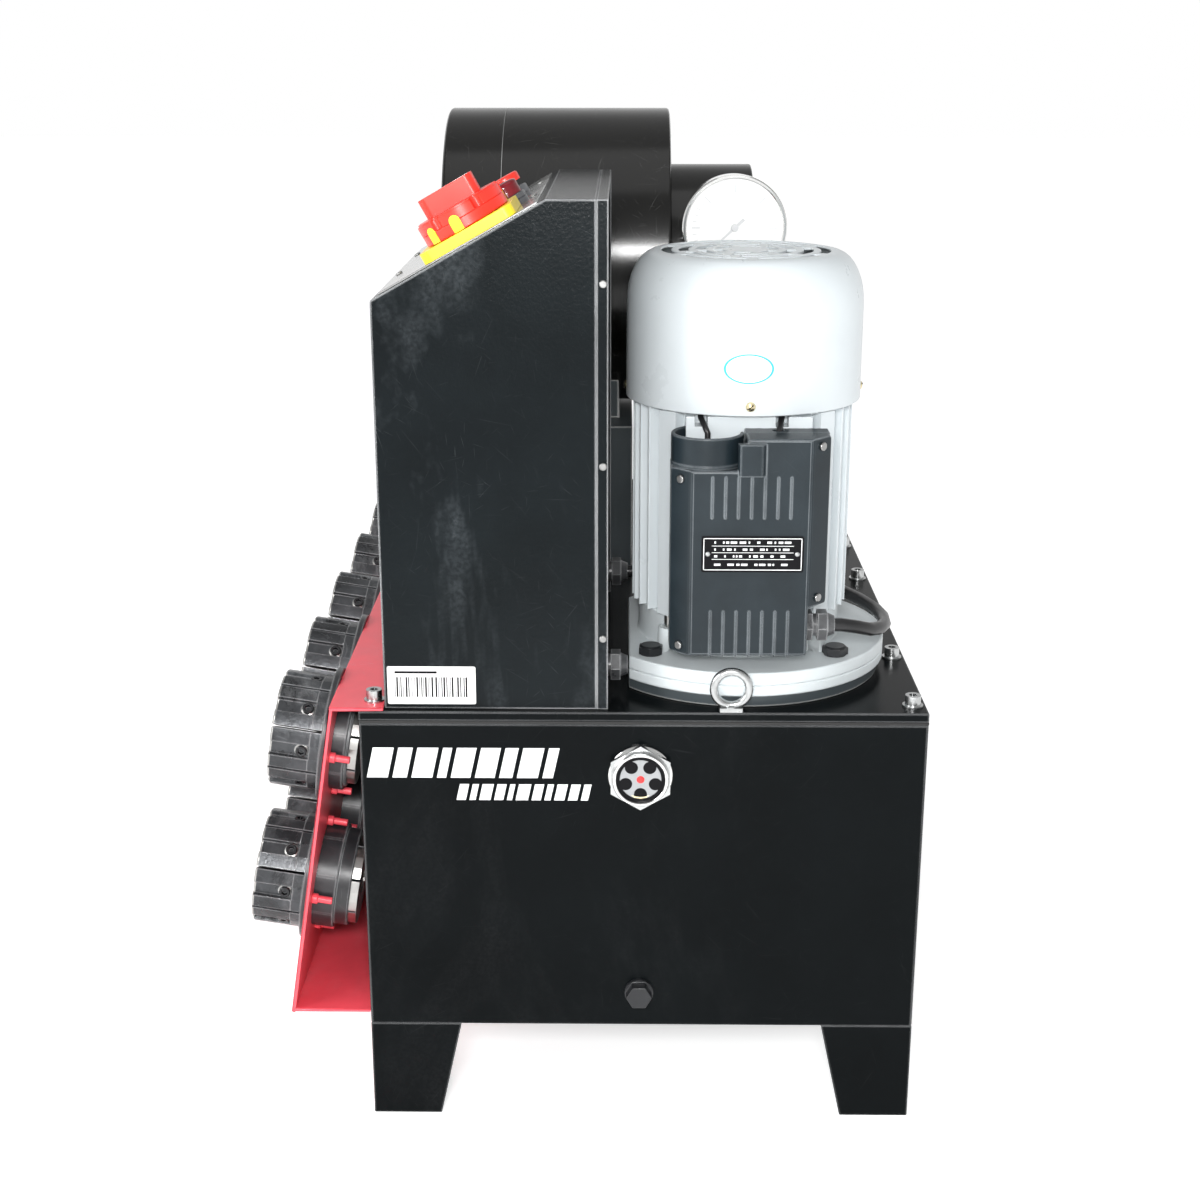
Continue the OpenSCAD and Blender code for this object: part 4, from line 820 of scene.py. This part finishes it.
def make_plate():
    """The rating plate: a black plate with a white frame, three rules, dashes for text and two rivets."""
    low, high = 0.7, 0.88        # the white print, above the cover's face
    plate = Shape()
    z0, z1 = cover_lo.z + 70, cover_lo.z + 99
    y0, y1 = motor_y - 38, motor_y + 42
    facing = place(cover_hi.x, 0, 0) @ SIDE
    plate.prism(rounded(y0, z0, y1, z1, 1.5), 0, 0.8, "print_black", facing)
    inset, line = 1.5, 2.1
    ya, yb, za, zb = y0 + inset, y1 - inset, z0 + inset, z1 - inset
    frame_lines = ((ya, za, yb, z0 + line), (ya, z1 - line, yb, zb), (ya, za, y0 + line, zb),
                   (y1 - line, za, yb, zb))
    rules = tuple((y0 + 8, z0 + a, y1 - 8, z0 + b) for a, b in ((10.2, 10.6), (15.6, 16), (21, 21.4)))
    for left, foot, right, top in frame_lines + rules:
        plate.block((left, foot, low), (right, top, high), "print_white", facing)
    for z in (z0 + 5.2, z0 + 12, z0 + 17.5, z0 + 23.2):
        y = y0 + 10
        while y < y1 - 14:
            w = random.choice((1.2, 2.4, 3.6, 5))
            plate.block((y, z, low), (y + w, z + 1.7, high), "print_white", facing)
            y += w + random.choice((1.2, 2.0, 5.5))
    for y in (y0 + 5, y1 - 5):
        rivet = facing @ place(y, (z0 + z1) / 2, 0)
        plate.spin([(0, 1.7), (1.3, 1.4), (2, 0.7), (0, 0.7)], "zinc", rivet, 24)
    plate.make("motor_plate")


def make_wiring():
    softened("motor_wiring", "cable", 0, angle=60)
    softened("cable_glands", "gland_nylon", 0.7, shortest=0.9)


# ---- Cabinet ----

def make_cabinet():
    softened("cabinet_shell", "cabinet_paint", 1.0)
    softened("rear_cover", "cabinet_paint", 0.5)
    softened("control_panel", "panel", 0.3)
    softened("cover_screws", "screw_steel", 0.7, shortest=0)
    make_label()


def make_label():
    """White label low on the cabinet's side, with random bars and one line."""
    low, high = 0.1, 0.16        # the black print, above the face
    label = Shape()
    facing = place(cab_hi.x + PROUD, 0, 0) @ SIDE
    y0, y1, z0, z1 = cab_lo.y + 3, cab_lo.y + 74, top_z + 4, top_z + 36
    label.prism(rounded(y0, z0, y1, z1, 1.5), 0, PRINT, "label", facing)
    margin = 6
    y = y0 + margin
    while y < y1 - 7:
        w = random.choice((0.5, 0.9, 1.4))
        label.block((y, z0 + margin, low), (y + w, z1 - 9, high), "print_black", facing)
        y += w + random.choice((0.7, 1.0, 1.8))
    label.block((y0 + margin, z1 - margin, low), (y0 + 40, z1 - 4, high), "print_black", facing)
    label.make("cabinet_label")


def make_isolator():
    seat = on_slope(*ISOLATOR_AT)
    make_isolator_base(seat)
    make_isolator_handle(seat)


def make_isolator_base(seat):
    """Yellow square with four corner marks, and the switch body behind the panel."""
    half = 40
    base = Shape()
    base.prism(rounded(-half, -half, half, half, 8), 1.6, 10, "yellow", seat)
    for a in range(0, 360, 90):
        base.block((37.2, -0.8, 9.9), (39.6, 0.8, 10.15), "print_black", seat @ turn("Z", a + 45))
    base.block((-30, -30, -52), (30, 30, -2.4), "plastic", seat)
    base.make("isolator_base_finished", replaces=["isolator_base"], bevel=1.4,
              shortest=0.5)


def make_isolator_handle(seat):
    """Red knob with six scallops in its upper disc, a grip across it and yellow inlays in its side."""
    knob_r, scallop_r = 35.5, 4
    handle = Shape()
    outline = []
    for k in range(360):
        off = math.radians(k % 60 - 30)
        r = knob_r
        if abs(knob_r * math.sin(off)) < scallop_r:
            bite = math.sqrt(scallop_r ** 2 - (knob_r * math.sin(off)) ** 2)
            r = min(r, knob_r * math.cos(off) - bite + 0.3)
        outline.append((r * math.cos(math.radians(k)), r * math.sin(math.radians(k))))
    handle.prism(outline, 19, 26.6, "red_plastic", seat)
    inner = [(x * 0.962, y * 0.962) for x, y in outline]
    handle.prism(inner, 26.5, 28.2, "red_plastic", seat)
    handle.spin([(0, 19.1), (34.6, 19.1), (35.4, 18.4), (35.4, 11), (34.8, 10.4), (5, 10.4), (5, -44),
                 (0, -44)], "red_plastic", seat, 96)
    handle.prism(rounded(-9.8, -24.8, 9.8, 21.8, 6), 28, 43.8, "red_plastic", seat)
    inlay_r, foot, shoulder = 4.3, 10.6, 19
    inlay = [(-inlay_r, foot), (inlay_r, foot)]
    for k in range(13):
        a = math.pi * k / 12
        inlay.append((inlay_r * math.cos(a), shoulder + inlay_r * math.sin(a)))
    for a in (-44, -6, 110, 190):
        handle.prism(inlay, 0, 4.7, "yellow", seat @ turn("Z", a) @ place(31, 0, 0) @ SIDE)
    handle.prism(rounded(-1.4, 6, 1.4, 19, 1.2), 43.7, 43.98, "print_white", seat)
    handle.make("isolator_handle_finished", "isolator_handle", ["isolator_handle"], 1.3,
                shortest=0.3)


def make_buttons():
    bezels = Shape()
    # Each bezel: its place, flange radius and height
    for at, r, h in ((LAMP_AT, 14.5, 9.5), (STOP_AT, 14.5, 11.5), (CLOSE_AT, 15, 9.5), (OPEN_AT, 15, 9.5)):
        seat = on_slope(*at)
        bezels.spin([(8.1, -34), (11, -34), (11, 1.5), (r, 1.5), (r, 4.4), (r - 0.5, 4.9), (r, 5.4),
                     (r, h - 0.9), (r - 0.9, h), (12.9, h), (12.5, h - 1.6), (8.1, h - 1.6)],
                    "bezel", seat, 64, closed=True)
        bezels.block((-14, -18, -60), (14, 18, -30), "plastic", seat)
    bezels.make("button_bezels_finished", replaces=["button_bezels"])
    lamp = Shape()
    lamp.spin([(0, 22.3), (3, 22.2), (3.4, 21.8), (6, 21.7), (6.4, 21.9), (9.2, 21.6), (11.6, 20.6),
               (12.5, 19), (12.3, 17.6), (12.5, 16.4), (12.3, 15), (12.5, 13.6), (12.5, 9.8), (7.9, 9.8),
               (7.9, -15), (0, -15)], "lens", on_slope(*LAMP_AT), 72)
    lamp.make("pilot_lamp_finished", replaces=["pilot_lamp"], angle=50)
    # Each button: its place, radius, top, underside of the cap, and look
    for name, at, r, z, low, look in (("stop_button", STOP_AT, 12.5, 24, 17, "red_plastic"),
                                      ("close_button", CLOSE_AT, 11, 20.5, 15, "green_plastic"),
                                      ("open_button", OPEN_AT, 11, 20.5, 15, "red_plastic")):
        button = Shape()
        button.spin([(0, z - 0.9), (r * 0.55, z - 0.7), (r - 2.2, z - 0.15), (r - 1.5, z), (r - 0.6, z - 0.5),
                     (r, z - 1.6), (r, low), (8, low), (8, -12), (0, -12)], look, on_slope(*at), 64)
        button.make(name + "_finished", name, [name], angle=50)


# ---- Crimping head, gauge and hose ----

def make_head():
    rim, wall, mouth = 147, 128, 70        # radii of the head, of its inside and of its mouth
    back = head_hi.y - head_lo.y
    front = head_hi.y - ring_lo.y
    shell = Shape()
    shell.spin([(40.2, 0), (143, 0), (146, 1), (rim, 3), (rim, back - 0.9), (146.2, back - 0.05),
                (wall, back - 0.05), (wall, 30.5), (40.2, 30.5)], "head_paint", in_head, 192, closed=True)
    shell.make("head_shell_finished", replaces=["head_shell"])
    ring = Shape()
    ring.spin([(wall, back + 0.05), (146.2, back + 0.05), (rim, back + 0.9), (rim, front - 3.5),
               (146.2, front - 1.4), (144, front), (73, front), (71, front - 0.6), (mouth, front - 2.4),
               (mouth, front - 21.2), (wall, front - 21.2)], "head_paint", in_head, 192, closed=True)
    # Bright line where the ring meets the shell
    ring.spin([(145.5, back - 0.4), (146.85, back - 0.4), (146.85, back + 0.4), (145.5, back + 0.4)],
              "screw_steel", in_head, 192, closed=True)
    ring.make("head_ring_finished", replaces=["head_front_ring"])
    softened("head_tail", "head_paint", 1.5)


def make_gauge():
    """Dial, rim, case and stem in one profile, with pale marks and a needle."""
    lo, hi = span("pressure_gauge")
    seat = place(hi.x, (lo.y + hi.y) / 2, (lo.z + hi.z) / 2) @ turn("Y", -90)
    shape = Shape()
    shape.spin([(0, 3.4), (45.8, 3.4), (46, 1), (46.9, 0.1), (48.8, 0.1), (50, 1.2), (50, 8), (48.6, 9),
                (48.6, 35.6), (46.4, 38), (10, 38), (10, 46), (6.5, 46), (6.5, 66), (0, 66)],
               ["dial"] + ["chrome"] * 13, seat, 128)
    first, step, outer = -135, 9, 40.5
    for k in range(31):
        inner, half = (33, 0.5) if k % 5 == 0 else (36.5, 0.25)
        mark = seat @ turn("Z", first + step * k)
        shape.block((inner, -half, 3.25), (outer, half, 3.45), "print_grey", mark)
    needle = [(34, -0.35), (34, 0.35), (-12, 1.6), (-12, -1.6)]
    shape.prism(needle, 2.2, 2.7, "print_grey", seat @ turn("Z", -133))
    shape.spin([(0, 1.2), (3.2, 1.6), (3.8, 3.4), (0, 3.4)], "print_grey", seat, 32)
    shape.make("gauge_finished", replaces=["pressure_gauge"])


def make_hose():
    """Hose from the fitting on the lid up to the rear cylinder, through two quarter bends."""
    x, y0, y1 = near_x - 488, mid_y - 33, mid_y + 70
    foot = top_z + 27
    bend, hose_r, straight_top, ferrule = 45, 7, 165, 160
    quarter = [math.radians(90 * k / 12) for k in range(13)]
    path = [(x, y0, foot - 4)]
    path += [(x, y0 + bend - bend * math.cos(a), foot + bend * math.sin(a)) for a in quarter]
    path += [(x, y1 - bend + bend * math.sin(a), foot + 2 * bend - bend * math.cos(a)) for a in quarter]
    path.append((x, y1, foot + straight_top))
    shape = Shape()
    shape.tube(path, hose_r, "hose", 28)
    seat = place(x, y0, top_z)
    shape.hexagon(27, 0.05, 11.5, "zinc", seat @ turn("Z", 15), 1.4)
    shape.spin([(0, 11), (9, 11), (9, 15), (8.4, 15.5), (9, 16), (9, 26), (8.3, 27), (0, 27)],
               "zinc", seat, 40)
    shape.spin([(0, 0), (8, 0), (8, -12), (0, -12)], "zinc", seat, 32)
    end = span("pressure_hose")[1].z - foot - ferrule - 0.05
    shape.spin([(0, 0), (8.4, 0), (9, 0.8), (9, 9), (8.5, 9.6), (9, 10.2), (9, end), (0, end)], "zinc",
               place(x, y1, foot + ferrule), 40)
    shape.make("hose_finished", replaces=["pressure_hose"], bevel=0.0)


# ---- Stored die sets ----

LEAN = 9                 # degrees that the rack's panel leans back
PANEL_OUT = 24           # its outer surface in front of the lid, at the lid's height


def on_rack(x, z):
    """Frame on the rack panel's outer surface, z along its normal, y up the panel."""
    out = lid_lo.y - (PANEL_OUT + (top_z - z) * math.tan(math.radians(LEAN)))
    return place(x, out, z) @ turn("X", 90 - LEAN)


def die_set(shape, seat, bore, neck, back):
    """Eight segments held by a ring behind the panel and a collar in front of it.
    neck and back are how far the ring and the segments reach behind the panel."""
    slit, slot_a, slot_b = 0.8, 6.9, 7.1        # half gap between segments; edges of the screw's slot
    gap = math.degrees(math.asin(slit / 36))
    angles = [-22.5 + gap, -15, -slot_b, -slot_a, 0, slot_a, slot_b, 15, 22.5 - gap]
    looks = ["bare_steel", "bare_steel", "ring_black", "ring_black", "die_black", "die_black", "die_black",
             "die_black", "bare_steel", "die_black", "bare_steel", "bare_steel"]
    for k in range(8):
        rings = []
        for a in angles:
            g = 44.6 if abs(a) < 7 else 48.9
            rings.append((math.radians(a), [(bore, -back), (39, -back), (39, -neck), (45, -neck), (45, 6.3),
                                            (49, 6.3), (49, 14.9), (g, 15), (g, 46.6), (g - 1.3, 48),
                                            (bore + 3, 48), (bore, 46.5)]))
        segment = seat @ turn("Z", 45 * k)
        shape.arc(rings, looks, segment)
        screw = segment @ place(44.4, 0, 21.2) @ turn("Y", 90)
        # The sockets in print black: painted shade in the recess
        shape.socket_head(4.7, 3.4, "black_steel", screw, "print_black")
        shape.spin([(4.8, 0.1), (5.8, 0.1), (5.8, 0.5), (4.8, 0.9)], "bare_steel", screw, 24, closed=True)
    wide = back - 7
    shape.spin([(39.2, -0.1), (44.9, -0.1), (45.3, -0.6), (45.3, -neck + 1), (44.6, -neck), (42.4, -neck),
                (41.8, -neck - 0.5), (41.8, -wide + 1), (41, -wide), (39.2, -wide)], "ring_black", seat, 96,
               closed=True)
    shape.spin([(45.1, 0.05), (56.4, 0.05), (57, 0.7), (57, 5.2), (56.3, 5.9), (45.1, 5.9)], "ring_black",
               seat, 96, closed=True)
    for k in range(4):
        mark = seat @ turn("Z", 90 * k + 11) @ place(51.3, 0, 0) @ turn("Z", 90)
        shape.prism(rounded(-3.4, -1.3, 3.4, 1.3, 1.2), 5.8, 6.05, "print_black", mark)


def make_die_sets():
    bores = (10, 14, 19, 24, 29)
    first, pitch = 74, 148
    # Each row: its node, height of its centres, growth of its bores, and reach behind the panel
    for node, z, wider, neck, back in (("die_sets_upper", top_z - 49, 0, 14, 24),
                                       ("die_sets_lower", top_z - 177, 3, 21, 40)):
        shape = Shape()
        for i, bore in enumerate(bores):
            die_set(shape, on_rack(near_x - first - pitch * i, z), bore + wider, neck, back)
        shape.make(node + "_finished", replaces=[node], bevel=0.35, segments=1, shortest=3)
    softened("rack_pins", "red_paint", 0.6, shortest=0)


add_camera()
add_stage()
dress_cad()
make_tank()
make_eye()
make_sight_glass()
make_motor()
make_capacitor_box()
make_wiring()
make_cabinet()
make_isolator()
make_buttons()
make_head()
make_gauge()
make_hose()
make_die_sets()
